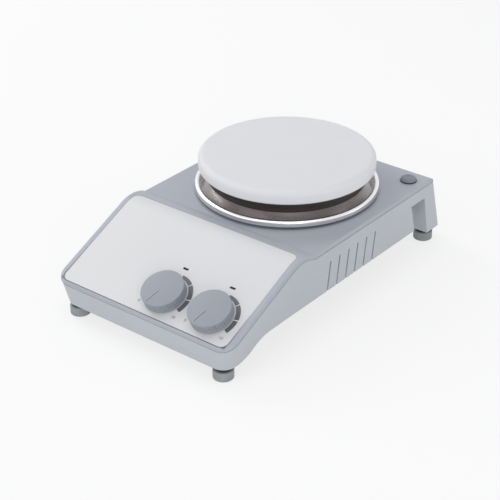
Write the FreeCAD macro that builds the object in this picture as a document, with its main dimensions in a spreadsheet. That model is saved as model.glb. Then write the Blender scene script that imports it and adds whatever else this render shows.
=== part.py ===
import FreeCAD, Part
import math
import os
import Sketcher
from FreeCAD import Placement, Rotation, Vector

# Hotplate magnetic stirrer, in millimetres.
# X runs across the front, +Y to the rear, +Z up; the origin is on the bench, under the middle of the casing.

SIZES = {
    # Outside of the two casings
    "body_width": 160,
    "body_depth": 268,
    "deck_height": 60,
    "top_wall": 2.2,
    "front_rim": 29.3,
    "panel_slope": 24.3,
    "crest_radius": 28,
    "frame_reach": 96,
    "front_round": 10,
    "rear_round": 3.5,
    "edge_round": 1.9,
    "deck_round": 5.5,
    "side_lean": 4.8,
    "front_lean": 2.65,
    "rear_rake": 22,
    "casing_base": 10,
    "casing_wall": 2.8,

    # Arched underside, vents, recesses beside and between the rear legs
    "inner_height": 39,
    "arch_start": 14,
    "arch_run": 34,
    "slot_width": 1.6,
    "slot_pitch": 11.1,
    "slot_count": 6,
    "slot_first": -52,
    "slot_drop": 13.5,
    "recess_drop": 13.5,
    "recess_reach": 14,
    "recess_start": 47.5,
    "recess_width": 16.5,
    "recess_rake": 18.5,
    "recess_round": 5,
    "leg_width": 23,
    "panel_recess": 32.5,
    "rear_window_drop": 13.5,
    "lug_width": 12,
    "lug_reach": 8,
    "lug_height": 6,
    "base_thickness": 1.2,
    "fit_gap": 0.4,

    # Feet and screws
    "foot_inset": 13.2,
    "foot_front": 10.3,
    "foot_rear": 11,
    "foot_radius": 7.4,
    "foot_neck": 5.6,
    "foot_neck_height": 3,
    "foot_boss_radius": 6.5,
    "foot_boss_top": 24,
    "screw_radius": 2,
    "screw_clearance": 0.3,
    "head_radius": 3.6,
    "head_height": 2.6,
    "casing_boss_radius": 4.5,
    "casing_boss_inset": 18,
    "casing_boss_front": 58.5,
    "rear_boss_inset": 26,
    "casing_boss_rear": 53.5,
    "thread_depth": 14,

    # Sloped panel, its overlay and the indicator windows
    "overlay_side": 5,
    "overlay_thickness": 0.6,
    "overlay_recess": 0.8,
    "overlay_margin": 1.5,
    "overlay_over": 13.3,
    "overlay_round": 5.5,
    "seat_gap": 0.15,
    "window_up": 46.2,
    "window_shift": -1,
    "window_width": 4.4,
    "window_height": 1.5,

    # Knobs and potentiometers
    "stir_inset": 29.5,
    "knob_spacing": 42,
    "knob_up": 21.2,
    "knob_radius": 15.7,
    "knob_height": 7.6,
    "knob_gap": 0.8,
    "knob_bore_depth": 6,
    "knurl_count": 60,
    "knurl_depth": 0.45,
    "pointer_angle": 14,
    "pointer_width": 0.9,
    "pointer_length": 10,
    "pot_radius": 8.5,
    "pot_height": 7.2,
    "bush_radius": 3.5,
    "bush_top": 3.2,
    "shaft_radius": 3,
    "shaft_running": 0.08,

    # Control board, below the panel and parallel to it
    "board_depth": 12,
    "board_thickness": 1.6,
    "board_left": -16,
    "board_inset": 18,
    "board_low": 8,
    "board_high": 52,

    # Hotplate, heater and drip ring
    "plate_centre": 33.5,
    "plate_radius": 66.5,
    "plate_thickness": 10.4,
    "plate_rise": 28.8,
    "plate_round": 4.5,
    "plate_under_round": 1.8,
    "cover_radius": 62.5,
    "cover_step": 2.6,
    "cover_wall": 0.9,
    "cover_depth": 9.8,
    "cover_step_drop": 4.8,
    "heater_radius": 58,
    "heater_thickness": 2.2,
    "pillar_circle": 40,
    "pillar_radius": 5,
    "ring_radius": 69.2,
    "ring_height": 6.9,
    "ring_bead": 1.5,
    "ring_wall": 0.8,
    "ring_floor_radius": 50,
    "ring_opening": 20,
    "ring_skirt": 4.8,
    "lead_offset": 41,
    "grommet_radius": 6,

    # Magnetic drive and its motor
    "magnet_gap": 2.4,
    "magnet_height": 7,
    "magnet_length": 22,
    "magnet_width": 16,
    "magnet_spread": 19,
    "carrier_radius": 34,
    "carrier_thickness": 2,
    "hub_radius": 7,
    "hub_drop": 0.8,
    "spindle_radius": 2.5,
    "spindle_running": 0.05,
    "spindle_reach": 4.9,
    "stack_drop": 30.5,
    "stack_height": 10,
    "stack_half_width": 24,
    "stack_front": 48,
    "stack_back": 17,
    "rotor_radius": 12.4,
    "air_gap": 0.4,
    "limb_width": 10,
    "window_half": 15,
    "winding_build": 4.2,
    "bracket_thickness": 1.5,
    "post_x": 41,
    "post_y": 16,
    "post_radius": 3.5,

    # Mains parts on the rear panel
    "inlet_inset": 23,
    "rear_parts_drop": 26,
    "inlet_width": 27.6,
    "inlet_height": 19.6,
    "inlet_depth": 24,
    "flange_thickness": 2,
    "fuse_x": 2,
    "fuse_body_radius": 6.2,
    "switch_inset": 21,
    "switch_width": 19,
    "switch_height": 13,
    "rocker_tilt": 8,

    # Support rod socket in the deck
    "socket_inset": 13,
    "socket_rear": 36.5,
    "socket_thread_radius": 4.25,
    "socket_depth": 10,
    "insert_wall": 1.6,
    "cap_radius": 6.2,
    "cap_height": 3,
}

doc = FreeCAD.newDocument("hotplate_stirrer")
sheet = doc.addObject("Spreadsheet::Sheet", "Sizes")
parts = []
for row, (name, number) in enumerate(SIZES.items(), start=1):
    sheet.set("A%d" % row, name)
    sheet.set("B%d" % row, str(number))
    sheet.setAlias("B%d" % row, name)
doc.recompute()


def amount(word):
    """A plain number, or the sheet's value for a name."""
    if word in SIZES:
        return float(sheet.get(word))
    return float(word)


def value(text):
    """Work out a sum of terms such as 'a + b / 2 - c'; names come from the sheet."""
    total = 0.0
    term = None
    sign = 1.0
    dividing = False
    for word in str(text).split():
        if word in "+-":
            total += 0.0 if term is None else sign * term
            sign = 1.0 if word == "+" else -1.0
            term = None
        elif word in "*/":
            dividing = word == "/"
        elif term is None:
            term = amount(word)
        else:
            term = term / amount(word) if dividing else term * amount(word)
    return total + sign * term


def bound(text):
    """The same sum written as an expression on the sheet's cells."""
    words = []
    for word in str(text).split():
        words.append("Sizes." + word if word in SIZES else word)
    return " ".join(words)


def new_body(label):
    """A body whose label names its file."""
    body = doc.addObject("PartDesign::Body", label)
    body.Label = label
    body.AllowCompound = True
    parts.append(body)
    return body


def base_plane(body, role):
    """One of the body's own three origin planes."""
    for feature in body.Origin.OriginFeatures:
        if feature.Role == role:
            return feature
    raise ValueError("no plane " + role)


def new_sketch(body, role, level="0"):
    """A sketch on an origin plane, lifted along the plane's normal by level."""
    sketch = body.newObject("Sketcher::SketchObject", body.Label + "_sketch")
    sketch.AttachmentSupport = [(base_plane(body, role), "")]
    sketch.MapMode = "FlatFace"
    sketch.setExpression("AttachmentOffset.Base.z", bound(level))
    return sketch


def fix_point(sketch, geometry, point, x_text, y_text):
    """Tie one point of the sketch to the sheet."""
    for kind, text in (("DistanceX", x_text), ("DistanceY", y_text)):
        number = sketch.addConstraint(Sketcher.Constraint(kind, geometry, point, value(text)))
        sketch.setExpression("Constraints[%d]" % number, bound(text))


def outline(body, corners, role="XY_Plane", level="0"):
    """A closed polygon whose corners are pairs of sums on the sheet."""
    sketch = new_sketch(body, role, level)
    count = len(corners)
    spots = [Vector(value(x), value(y), 0) for x, y in corners]
    for index in range(count):
        sketch.addGeometry(Part.LineSegment(spots[index], spots[(index + 1) % count]), False)
    for index in range(count):
        sketch.addConstraint(Sketcher.Constraint("Coincident", index, 2, (index + 1) % count, 1))
        fix_point(sketch, index, 1, *corners[index])
    return sketch


def rectangle(body, x_low, x_high, y_low, y_high, role="XY_Plane", level="0"):
    """A rectangle between four sums on the sheet."""
    corners = [(x_low, y_low), (x_high, y_low), (x_high, y_high), (x_low, y_high)]
    return outline(body, corners, role, level)


def rings(body, centres, radius, role="XY_Plane", level="0"):
    """Equal circles at several centres, for bosses, feet, screws and holes."""
    sketch = new_sketch(body, role, level)
    for index, (x, y) in enumerate(centres):
        centre = Vector(value(x), value(y), 0)
        sketch.addGeometry(Part.Circle(centre, Vector(0, 0, 1), value(radius)), False)
        fix_point(sketch, index, 3, x, y)
        number = sketch.addConstraint(Sketcher.Constraint("Radius", index, value(radius)))
        sketch.setExpression("Constraints[%d]" % number, bound(radius))
    return sketch


def pad(body, sketch, length, symmetric=False, backwards=False):
    """Add the sketch's area, carried along its normal."""
    feature = body.newObject("PartDesign::Pad", body.Label + "_pad")
    feature.Profile = sketch
    feature.SideType = "Symmetric" if symmetric else "One side"
    feature.Reversed = backwards
    feature.setExpression("Length", bound(length))
    doc.recompute()
    return feature


def cut(body, sketch, length=None, upwards=True):
    """Cut the sketch's area, right through or for a length along its normal."""
    before = body.Shape.Volume
    feature = body.newObject("PartDesign::Pocket", body.Label + "_pocket")
    feature.Profile = sketch
    if length is None:
        feature.Type = "ThroughAll"
        feature.SideType = "Symmetric"
    else:
        feature.Reversed = upwards
        feature.setExpression("Length", bound(length))
    doc.recompute()
    if body.Shape.Volume > before - 1e-6:
        raise ValueError(body.Label + ": a pocket cuts nothing")
    return feature


def turned(label, corners):
    """A body turned about its own upright axis from (radius, height) corners."""
    body = new_body(label)
    turn(body, outline(body, corners, "XZ_Plane"))
    return body


def turn(body, sketch):
    """Turn a half section about the body's upright axis."""
    feature = body.newObject("PartDesign::Revolution", body.Label + "_turn")
    feature.Profile = sketch
    feature.ReferenceAxis = (sketch, ["V_Axis"])
    feature.Angle = 360
    doc.recompute()
    return feature


def stack(body, centres, levels):
    """Add round steps at several centres; each level is (bottom, top, radius)."""
    for bottom, top, radius in levels:
        pad(body, rings(body, centres, radius, level=bottom), top + " - " + minus(bottom))


def minus(text):
    """The sum with its signs turned, to be written after a minus sign."""
    return text.replace(" + ", " ~ ").replace(" - ", " + ").replace(" ~ ", " - ")


def drill(body, centres, radius, bottom=None, top=None):
    """Cut round holes at several centres, right through or between two levels."""
    if bottom is None:
        return cut(body, rings(body, centres, radius))
    return cut(body, rings(body, centres, radius, level=bottom), top + " - " + minus(bottom))


def block(label, x_low, x_high, y_low, y_high, z_low, z_high):
    """A straight block between six sums on the sheet."""
    body = new_body(label)
    pad(body, rectangle(body, x_low, x_high, y_low, y_high, level=z_low), z_high + " - " + minus(z_low))
    return body


def round_edges(body, radius, wanted):
    """Fillet each edge of the body's present shape for which wanted(edge) is true."""
    names = []
    for index, edge in enumerate(body.Shape.Edges):
        if wanted(edge):
            names.append("Edge%d" % (index + 1))
    if not names:
        raise ValueError(body.Label + ": no edge to round")
    base = body.Tip
    feature = body.newObject("PartDesign::Fillet", body.Label + "_fillet")
    feature.Base = (base, names)
    feature.setExpression("Radius", bound(radius))
    doc.recompute()
    return feature


def put(body, x="0", y="0", z="0"):
    """Place a body by sums on the sheet."""
    body.setExpression("Placement.Base.x", bound(x))
    body.setExpression("Placement.Base.y", bound(y))
    body.setExpression("Placement.Base.z", bound(z))
    doc.recompute()
    return body


def put_on_panel(body, x="0", up="0", out="0"):
    """Place a body on the sloped panel: x across, up the slope, out along its normal."""
    along, outward = bound(up), bound(out)
    cosine, sine = "cos(Sizes.panel_slope)", "sin(Sizes.panel_slope)"
    body.Placement = Placement(Vector(), Rotation(Vector(1, 0, 0), value("panel_slope")))
    body.setExpression("Placement.Base.x", bound(x))
    body.setExpression(
        "Placement.Base.y",
        "%s + (%s) * %s - (%s) * %s" % (bound(FRONT_EDGE), along, cosine, outward, sine),
    )
    body.setExpression(
        "Placement.Base.z",
        "Sizes.front_rim + (%s) * %s + (%s) * %s" % (along, sine, outward, cosine),
    )
    doc.recompute()
    return body


def solid_part(label, shape):
    """A sub-part whose shape is worked out directly from the sheet's values."""
    feature = doc.addObject("Part::Feature", label)
    feature.Label = label
    feature.Shape = shape
    parts.append(feature)
    return feature


# Positions that several sub-parts share
FRONT_EDGE = "-1 * body_depth / 2"
REAR_EDGE = "body_depth / 2"
REAR_PANEL = REAR_EDGE + " - panel_recess"
FRONT = value(FRONT_EDGE)
REAR = value(REAR_EDGE)
HALF = value("body_width / 2")
SLOPE = math.radians(value("panel_slope"))
UNDER_DECK = "deck_height - top_wall"
ARCH = "deck_height - inner_height"
INSIDE_FLOOR = ARCH + " + base_thickness"
LEG_INNER = "body_width / 2 - leg_width"
FEET = [
    ("foot_inset - body_width / 2", FRONT_EDGE + " + foot_front"),
    ("body_width / 2 - foot_inset", FRONT_EDGE + " + foot_front"),
    ("foot_inset - body_width / 2", REAR_EDGE + " - foot_rear"),
    ("body_width / 2 - foot_inset", REAR_EDGE + " - foot_rear"),
]
FRONT_FEET = FEET[:2]
CASING_BOSSES = [
    ("casing_boss_inset - body_width / 2", FRONT_EDGE + " + casing_boss_front"),
    ("body_width / 2 - casing_boss_inset", FRONT_EDGE + " + casing_boss_front"),
    ("rear_boss_inset - body_width / 2", REAR_EDGE + " - casing_boss_rear"),
    ("body_width / 2 - rear_boss_inset", REAR_EDGE + " - casing_boss_rear"),
]
STIR_X = "body_width / 2 - stir_inset"
HEAT_X = STIR_X + " - knob_spacing"
KNOBS = [(HEAT_X, "knob_up"), (STIR_X, "knob_up")]
OVERLAY_WIDTH = "body_width - 2 * overlay_side"
PLATE_TOP = "deck_height + plate_rise"
PLATE_UNDER = PLATE_TOP + " - plate_thickness"
COVER_FLOOR = PLATE_UNDER + " - cover_depth"
COVER_STEP = PLATE_UNDER + " - cover_step_drop"
STACK_BOTTOM = "deck_height - stack_drop"
STACK_TOP = STACK_BOTTOM + " + stack_height"
BRACKET_TOP = STACK_TOP + " + bracket_thickness"
SPINDLE_BOTTOM = STACK_BOTTOM + " - spindle_reach"
MAGNET_TOP = UNDER_DECK + " - magnet_gap"
CARRIER_LOW = MAGNET_TOP + " - magnet_height - carrier_thickness"
HUB_BOTTOM = CARRIER_LOW + " - hub_drop"
REAR_PARTS = "deck_height - rear_parts_drop"
RECESS_TOP = "deck_height - recess_drop"
INLET_X = "inlet_inset - body_width / 2 + leg_width"
SWITCH_X = LEG_INNER + " - switch_inset"
SOCKET = [("body_width / 2 - socket_inset", REAR_EDGE + " - socket_rear")]
MOTOR_POSTS = [
    ("-1 * post_x", "-1 * post_y"),
    ("post_x", "-1 * post_y"),
    ("post_x", "post_y"),
    ("-1 * post_x", "post_y"),
]
PILLAR_SIDE = "pillar_circle * 0.70711"
PILLARS = [
    ("-1 * " + PILLAR_SIDE, "-1 * " + PILLAR_SIDE),
    (PILLAR_SIDE, "-1 * " + PILLAR_SIDE),
    (PILLAR_SIDE, PILLAR_SIDE),
    ("-1 * " + PILLAR_SIDE, PILLAR_SIDE),
]
LEADS = [("-3", "lead_offset - 1.5"), ("3", "lead_offset - 1.5")]
SENSOR = [("0", "lead_offset + 3")]
GROMMET = [("0", "lead_offset")]


def on_deck(centres):
    """Centres given about the hotplate's axis, moved to the deck."""
    return [(x, "plate_centre + " + y if y[0] != "-" else "plate_centre - " + y[5:]) for x, y in centres]


def panel_point(up, out):
    """(y, z) of a point up the slope and out along the panel's normal."""
    y = FRONT + up * math.cos(SLOPE) - out * math.sin(SLOPE)
    z = value("front_rim") + up * math.sin(SLOPE) + out * math.cos(SLOPE)
    return y, z


def crest():
    """Up-slope run to the crest's arc, and the arc's centre.

    The arc leaves the slope without a corner and meets the deck at frame_reach.
    """
    radius = value("crest_radius")
    reach = value("frame_reach")
    rise = value("deck_height - front_rim")
    along = reach * math.cos(SLOPE) + rise * math.sin(SLOPE)
    across = -reach * math.sin(SLOPE) + rise * math.cos(SLOPE)
    run = along - math.sqrt(-across * (across + 2 * radius))
    return run, panel_point(run, -radius)


def yz_edges(points):
    """Edges in the YZ plane: pairs are line ends, and a triple's last item is an arc's middle point."""
    edges = []
    for here, there in zip(points, points[1:] + points[:1]):
        start = Vector(0, here[0], here[1])
        end = Vector(0, there[0], there[1])
        if len(there) == 3:
            middle = Vector(0, there[2][0], there[2][1])
            edges.append(Part.Arc(start, middle, end).toShape())
        else:
            edges.append(Part.LineSegment(start, end).toShape())
    return edges


def yz_prism(points, x_low, x_high):
    """The outline in the YZ plane, carried from x_low to x_high."""
    face = Part.Face(Part.Wire(yz_edges(points)))
    face.translate(Vector(x_low, 0, 0))
    return face.extrude(Vector(x_high - x_low, 0, 0))


def arc_point(centre, radius, angle):
    """(y, z) on an arc, angle from straight up towards the rear."""
    return centre[0] + radius * math.sin(angle), centre[1] + radius * math.cos(angle)


def skin(depth):
    """Side outline of the top casing's surface, moved inwards by depth: front end, slope, crest, deck."""
    run, centre = crest()
    radius = value("crest_radius") - depth
    deck = value("deck_height") - depth
    end_angle = math.acos(min(1.0, (deck - centre[1]) / radius))
    front = (FRONT, value("front_rim") - depth / math.cos(SLOPE))
    slope_end = arc_point(centre, radius, -SLOPE)
    deck_start = arc_point(centre, radius, end_angle)
    middle = arc_point(centre, radius, (end_angle - SLOPE) / 2)
    return [front, slope_end, (deck_start[0], deck_start[1], middle)]


def rear_face(height):
    """y of the raked rear face at a height."""
    lean = math.tan(math.radians(value("rear_rake")))
    return REAR - (height - value("casing_base")) * lean


def draw_path(sketch, points):
    """Lines and arcs of a closed path, arcs given by their middle points."""
    for here, there in zip(points, points[1:] + points[:1]):
        start = Vector(here[0], here[1], 0)
        end = Vector(there[0], there[1], 0)
        if len(there) == 3:
            middle = Vector(there[2][0], there[2][1], 0)
            sketch.addGeometry(Part.Arc(start, middle, end), False)
        else:
            sketch.addGeometry(Part.LineSegment(start, end), False)


def sketch_section(body, points):
    """The outline in the YZ plane, drawn in a sketch."""
    sketch = new_sketch(body, "YZ_Plane")
    draw_path(sketch, points)
    return sketch


def backwards_path(points):
    """The same open path walked from its end; each arc's middle point moves to its new end."""
    path = []
    for index in range(len(points) - 1, -1, -1):
        spot = points[index][:2]
        if index + 1 < len(points) and len(points[index + 1]) == 3:
            spot = (spot[0], spot[1], points[index + 1][2])
        path.append(spot)
    return path


def above_skin(depth):
    """Everything above the top casing's surface moved inwards by depth, as a side outline."""
    path = skin(depth)
    beyond = value("body_depth / 4")
    ceiling = value(PLATE_TOP)
    front_y, front_z = path[0]
    path[0] = (front_y - beyond, front_z - beyond * math.tan(SLOPE))
    last = path[-1]
    return path + [(REAR + beyond, last[1]), (REAR + beyond, ceiling), (front_y - beyond, ceiling)]


def panel_sketch(body, out="0"):
    """A sketch on the sloped panel: x across, y up the slope."""
    sketch = new_sketch(body, "XY_Plane")
    y, z = panel_point(0, value(out))
    sketch.setExpression("AttachmentOffset.Base.z", None)
    sketch.AttachmentOffset = Placement(Vector(0, y, z), Rotation(Vector(1, 0, 0), value("panel_slope")))
    return sketch


def panel_rings(body, centres, radius, out="0"):
    """Equal circles on the sloped panel."""
    sketch = panel_sketch(body, out)
    for index, (x, up) in enumerate(centres):
        sketch.addGeometry(Part.Circle(Vector(value(x), value(up), 0), Vector(0, 0, 1), value(radius)), False)
        fix_point(sketch, index, 3, x, up)
        number = sketch.addConstraint(Sketcher.Constraint("Radius", index, value(radius)))
        sketch.setExpression("Constraints[%d]" % number, bound(radius))
    return sketch


def window_centres():
    """Middle of each indicator window on the panel."""
    return [(x + " + window_shift", "window_up") for x in (HEAT_X, STIR_X)]


def make_top_casing():
    """Cast top: flat deck, raised sloping frame, and the bosses and posts below them."""
    body = new_body("top_casing")
    deck = value("deck_height")
    under = value(UNDER_DECK)
    upper = skin(0) + [(rear_face(deck), deck), (rear_face(under), under)]
    pad(body, sketch_section(body, upper + backwards_path(skin(value("top_wall")))), "body_width", symmetric=True)
    round_corners(body, FRONT, "front_round")
    round_corners(body, rear_face(under), "rear_round")
    round_edges(body, "edge_round", is_outer_rim)
    cut(body, sketch_section(body, past_rear_edge()))
    add_top_bosses(body)
    cut_panel(body)
    cut_deck_holes(body)
    return body


def round_corners(body, y_edge, radius_name):
    """Cut the two plan corners at one end of the casing to a quarter circle."""
    radius = value(radius_name)
    inwards = 1 if y_edge < 0 else -1
    sketch = new_sketch(body, "XY_Plane")
    for side in (-1, 1):
        x_edge = side * HALF
        centre = (x_edge - side * radius, y_edge + inwards * radius)
        middle = (centre[0] + side * radius * math.sqrt(0.5), centre[1] - inwards * radius * math.sqrt(0.5))
        past_x, past_y = x_edge + side, y_edge - inwards
        draw_path(sketch, [
            (past_x, past_y),
            (centre[0], past_y),
            (centre[0], y_edge),
            (x_edge, centre[1], middle),
            (past_x, centre[1]),
        ])
    cut(body, sketch)


def past_rear_edge():
    """Side outline of what the rounding takes off along the deck's rear edge."""
    rake = math.radians(value("rear_rake"))
    radius = value("deck_round")
    deck = value("deck_height")
    half = (math.pi / 2 - rake) / 2
    tangent = radius * math.tan(half)
    edge = rear_face(deck)
    start = (edge - tangent, deck)
    end = (edge + tangent * math.sin(rake), deck - tangent * math.cos(rake))
    middle = arc_point((start[0], deck - radius), radius, half)
    beyond = end[0] + radius
    return [start, end + (middle,), (beyond, end[1]), (beyond, deck + radius), (start[0], deck + radius)]


def is_outer_rim(edge):
    """Upper outline of the deck and of the sloping frame, all the way round."""
    box = edge.BoundBox
    at_end = box.YMax < FRONT + 0.5 or box.YMin > rear_face(value("deck_height")) - 0.5
    for end in edge.Vertexes:
        if end.Point.z < surface_height(end.Point.y) - value("top_wall") / 2:
            return False
    return at_end or box.XLength < HALF


def surface_height(y):
    """Height of the top casing's surface at y."""
    run, centre = crest()
    slope_end = panel_point(run, 0)[0]
    if y <= slope_end:
        return value("front_rim") + (y - FRONT) * math.tan(SLOPE)
    deck_start = skin(0)[-1][0]
    if y >= deck_start:
        return value("deck_height")
    return centre[1] + math.sqrt(value("crest_radius") ** 2 - (y - centre[0]) ** 2)


BOARD_RIGHT = "body_width / 2 - board_inset"
BOARD_POSTS = [
    ("board_left + 4", "board_low + 4"),
    (BOARD_RIGHT + " - 4", "board_low + 4"),
    (BOARD_RIGHT + " - 4", "board_high - 4"),
    ("board_left + 4", "board_high - 4"),
]
TERMINAL_POSTS = [("-13", "lead_offset"), ("13", "lead_offset")]
TERMINAL_TOP = "deck_height - top_wall - 7"


def add_top_bosses(body):
    """Bosses and posts, drawn through the skin and trimmed back to its surface."""
    inside = "deck_height - top_wall / 2"
    stack(body, CASING_BOSSES, [(INSIDE_FLOOR, PLATE_TOP, "casing_boss_radius")])
    stack(body, on_deck(MOTOR_POSTS), [(BRACKET_TOP, inside, "post_radius")])
    stack(body, on_deck(TERMINAL_POSTS), [(TERMINAL_TOP, inside, "screw_radius + 1")])
    stack(body, SOCKET, [("deck_height - socket_depth", inside, "socket_thread_radius + 5.2")])
    pad(body, panel_rings(body, BOARD_POSTS, "screw_radius + 1", "-1 * board_depth"), "board_depth - top_wall / 2")
    trim = new_sketch(body, "YZ_Plane")
    draw_path(trim, above_skin(0))
    cut(body, trim)


def cut_panel(body):
    """Shallow seat for the overlay with rounded corners, and the holes for bushes and windows."""
    cutter = sketch_section(body, overlay_section(0, -2, value("overlay_recess")))
    feature = body.newObject("PartDesign::Pocket", "overlay_seat")
    feature.Profile = cutter
    feature.SideType = "Symmetric"
    feature.setExpression("Length", bound(OVERLAY_WIDTH + " + 2 * seat_gap"))
    doc.recompute()
    depth = value("overlay_recess")
    round_edges(body, "overlay_round", lambda edge: is_corner_of_strip(edge, depth))
    cut(body, panel_rings(body, KNOBS, "bush_radius + seat_gap", "-1 * overlay_recess - 4"), "8")
    for x, up in window_centres():
        cut(body, panel_window(body, x, up, "seat_gap", "-1 * overlay_recess - 4"), "8")


def is_corner_of_strip(edge, depth):
    """A short edge square to the panel at a corner of the overlay or its seat."""
    box = edge.BoundBox
    at_side = abs(abs(box.XMin) - value(OVERLAY_WIDTH) / 2) < 1
    return abs(edge.Length - depth) < 0.01 and box.XLength < 0.01 and at_side


def panel_window(body, x, up, gap, out):
    """A window's rectangle on the sloped panel."""
    sketch = panel_sketch(body, out)
    wide = value("window_width") / 2 + value(gap)
    tall = value("window_height") / 2 + value(gap)
    middle_x, middle_up = value(x), value(up)
    corners = [(-wide, -tall), (wide, -tall), (wide, tall), (-wide, tall)]
    spots = [Vector(middle_x + dx, middle_up + dy, 0) for dx, dy in corners]
    for index in range(4):
        sketch.addGeometry(Part.LineSegment(spots[index], spots[(index + 1) % 4]), False)
    return sketch


def cut_deck_holes(body):
    """Holes in the deck, and threads in the bosses."""
    clearance = "screw_radius + screw_clearance"
    thread = "screw_radius - 0.3"
    under = "deck_height - top_wall - 1"
    drill(body, on_deck(PILLARS), clearance, under, "deck_height + 1")
    drill(body, on_deck(GROMMET), "grommet_radius", under, "deck_height + 1")
    hole = "socket_thread_radius + insert_wall + 0.05"
    drill(body, SOCKET, hole, "deck_height - socket_depth - 1", "deck_height + 1")
    drill(body, CASING_BOSSES, thread, ARCH, INSIDE_FLOOR + " + thread_depth")
    drill(body, on_deck(MOTOR_POSTS), thread, BRACKET_TOP + " - 1", BRACKET_TOP + " + thread_depth / 2")


def overlay_section(gap, top, bottom):
    """Side outline of a strip on the panel between two depths, held back by gap at its ends."""
    run, centre = crest()
    radius = value("crest_radius")
    start = value("overlay_margin") + gap
    end_angle = (value("overlay_over") - gap) / radius - SLOPE
    middle_angle = (end_angle - SLOPE) / 2
    path = []
    for depth in (top, bottom):
        tip = arc_point(centre, radius - depth, end_angle)
        middle = arc_point(centre, radius - depth, middle_angle)
        path.append([panel_point(start, -depth), panel_point(run, -depth), tip + (middle,)])
    return path[0] + backwards_path(path[1])


def make_panel_overlay():
    """Thin printed overlay, laid in its seat along the slope and over the crest."""
    body = new_body("panel_overlay")
    top = value("overlay_recess") - value("overlay_thickness")
    strip = sketch_section(body, overlay_section(value("seat_gap"), top, value("overlay_recess")))
    pad(body, strip, OVERLAY_WIDTH, symmetric=True)
    depth = value("overlay_thickness")
    round_edges(body, "overlay_round", lambda edge: is_corner_of_strip(edge, depth))
    cut(body, panel_rings(body, KNOBS, "bush_radius + 2.2", "-4"), "8")
    for x, up in window_centres():
        cut(body, panel_window(body, x, up, "seat_gap", "-4"), "8")
    return body


def casing_block(inset, drop, rise):
    """Tapered block inside the lower casing's outer faces, moved inwards by inset.

    Three flat sections, at the front, where the slope ends, and at the rear, are joined by straight
    lines; drop and rise, as shares of each section's height, carry the block past both ends.
    """
    base = value("casing_base")
    wall_under = value(UNDER_DECK)
    front_top = skin(value("top_wall"))[0][1]
    bend = FRONT + (wall_under - front_top) / math.tan(SLOPE)
    narrow = HALF - value("side_lean") - inset
    wide = HALF - inset
    front_low = FRONT + value("front_lean") + inset
    sections = []
    spots = (
        (front_low, FRONT + inset, front_top),
        (bend, bend, wall_under),
        (REAR - inset, rear_face(wall_under) - inset, wall_under),
    )
    for y_low, y_high, top in spots:
        low = Vector(narrow, y_low, base)
        step = Vector(wide, y_high, top) - low
        bottom = low - step * drop
        upper = low + step * (1 + rise)
        ring = [
            Vector(-bottom.x, bottom.y, bottom.z),
            bottom,
            upper,
            Vector(-upper.x, upper.y, upper.z),
            Vector(-bottom.x, bottom.y, bottom.z),
        ]
        sections.append(Part.makePolygon(ring))
    body = Part.makeLoft(sections, True, True)
    return round_casing_corners(body, inset)


def round_casing_corners(body, inset):
    """Fillet the block's four leaning corner edges, where they are rounder than inset."""
    for radius_name, at_front in (("front_round", True), ("rear_round", False)):
        radius = value(radius_name) - inset
        if radius <= 0:
            continue
        edges = []
        for edge in body.Edges:
            box = edge.BoundBox
            steep = box.ZLength > 10 and box.YLength < box.ZLength and box.XLength < box.ZLength / 2
            placed = box.YMax < FRONT + 20 if at_front else box.YMin > REAR - 60
            if steep and placed:
                edges.append(edge)
        body = body.makeFillet(radius, edges)
    return body


def arch_path(lift):
    """Side outline of the arched underside, moved up by lift: two equal arcs, then level."""
    base = value("casing_base") + lift
    top = value(ARCH) + lift
    start = FRONT + value("arch_start")
    run = value("arch_run")
    rise = top - base
    bend = (run ** 2 + rise ** 2) / (4 * rise)
    half_angle = math.asin(run / 2 / bend) / 2
    middle = (start + run / 2, base + rise / 2)
    low_mid = (start + bend * math.sin(half_angle), base + bend - bend * math.cos(half_angle))
    high_mid = (start + run - bend * math.sin(half_angle), top - bend + bend * math.cos(half_angle))
    return [(start, base), middle + (low_mid,), (start + run, top, high_mid)]


def recess_volume(side, grow):
    """Space beside the rear leg: a raked slot whose front end rounds into the side wall."""
    reach = HALF - value("recess_reach") - grow
    front = REAR - value("recess_start")
    start = front - grow
    end = front + value("recess_width") + grow
    corner = value("recess_round")
    radius = corner - grow
    outside = HALF + value("recess_reach")
    lean = math.tan(math.radians(value("recess_rake")))
    top = value(RECESS_TOP) + grow
    low = value("casing_base") - value(ARCH)
    centre = (HALF - corner, front - corner)
    turn_mid = (centre[0] + radius * math.sqrt(0.5), centre[1] + radius * math.sqrt(0.5))
    plan = [
        (reach, start),
        (centre[0], start),
        (centre[0] + radius, centre[1], turn_mid),
        (outside, centre[1]),
        (outside, end),
        (reach, end),
    ]
    shift = -grow * lean
    edges = []
    for here, there in zip(plan, plan[1:] + plan[:1]):
        first = Vector(side * here[0], here[1] + shift, top)
        last = Vector(side * there[0], there[1] + shift, top)
        if len(there) == 3:
            bend = Vector(side * there[2][0], there[2][1] + shift, top)
            edges.append(Part.Arc(first, bend, last).toShape())
        else:
            edges.append(Part.LineSegment(first, last).toShape())
    face = Part.Face(Part.Wire(edges))
    return face.extrude(Vector(0, (top - low) * lean, low - top))


def rear_window(grow):
    """Space between the rear legs, under the deck's overhang."""
    wide = value(LEG_INNER) if grow == 0 else HALF * 2
    top = value("deck_height - rear_window_drop") + grow
    face = value(REAR_PANEL) - grow
    return Part.makeBox(2 * wide, REAR * 2, top + 10, Vector(-wide, face, -10))


def lug_spots():
    """Side and y of each lug that the base plate is screwed to."""
    front, rear = value(CASING_BOSSES[0][1]), value(CASING_BOSSES[2][1])
    rows = (front + 22, value("plate_centre") - 30, rear - 14)
    return [(side, y) for side in (-1, 1) for y in rows]


def lug_screw_x():
    """Distance of the lug screws from the middle."""
    return HALF - value("side_lean") - value("casing_wall") - value("lug_reach") / 2


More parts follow.
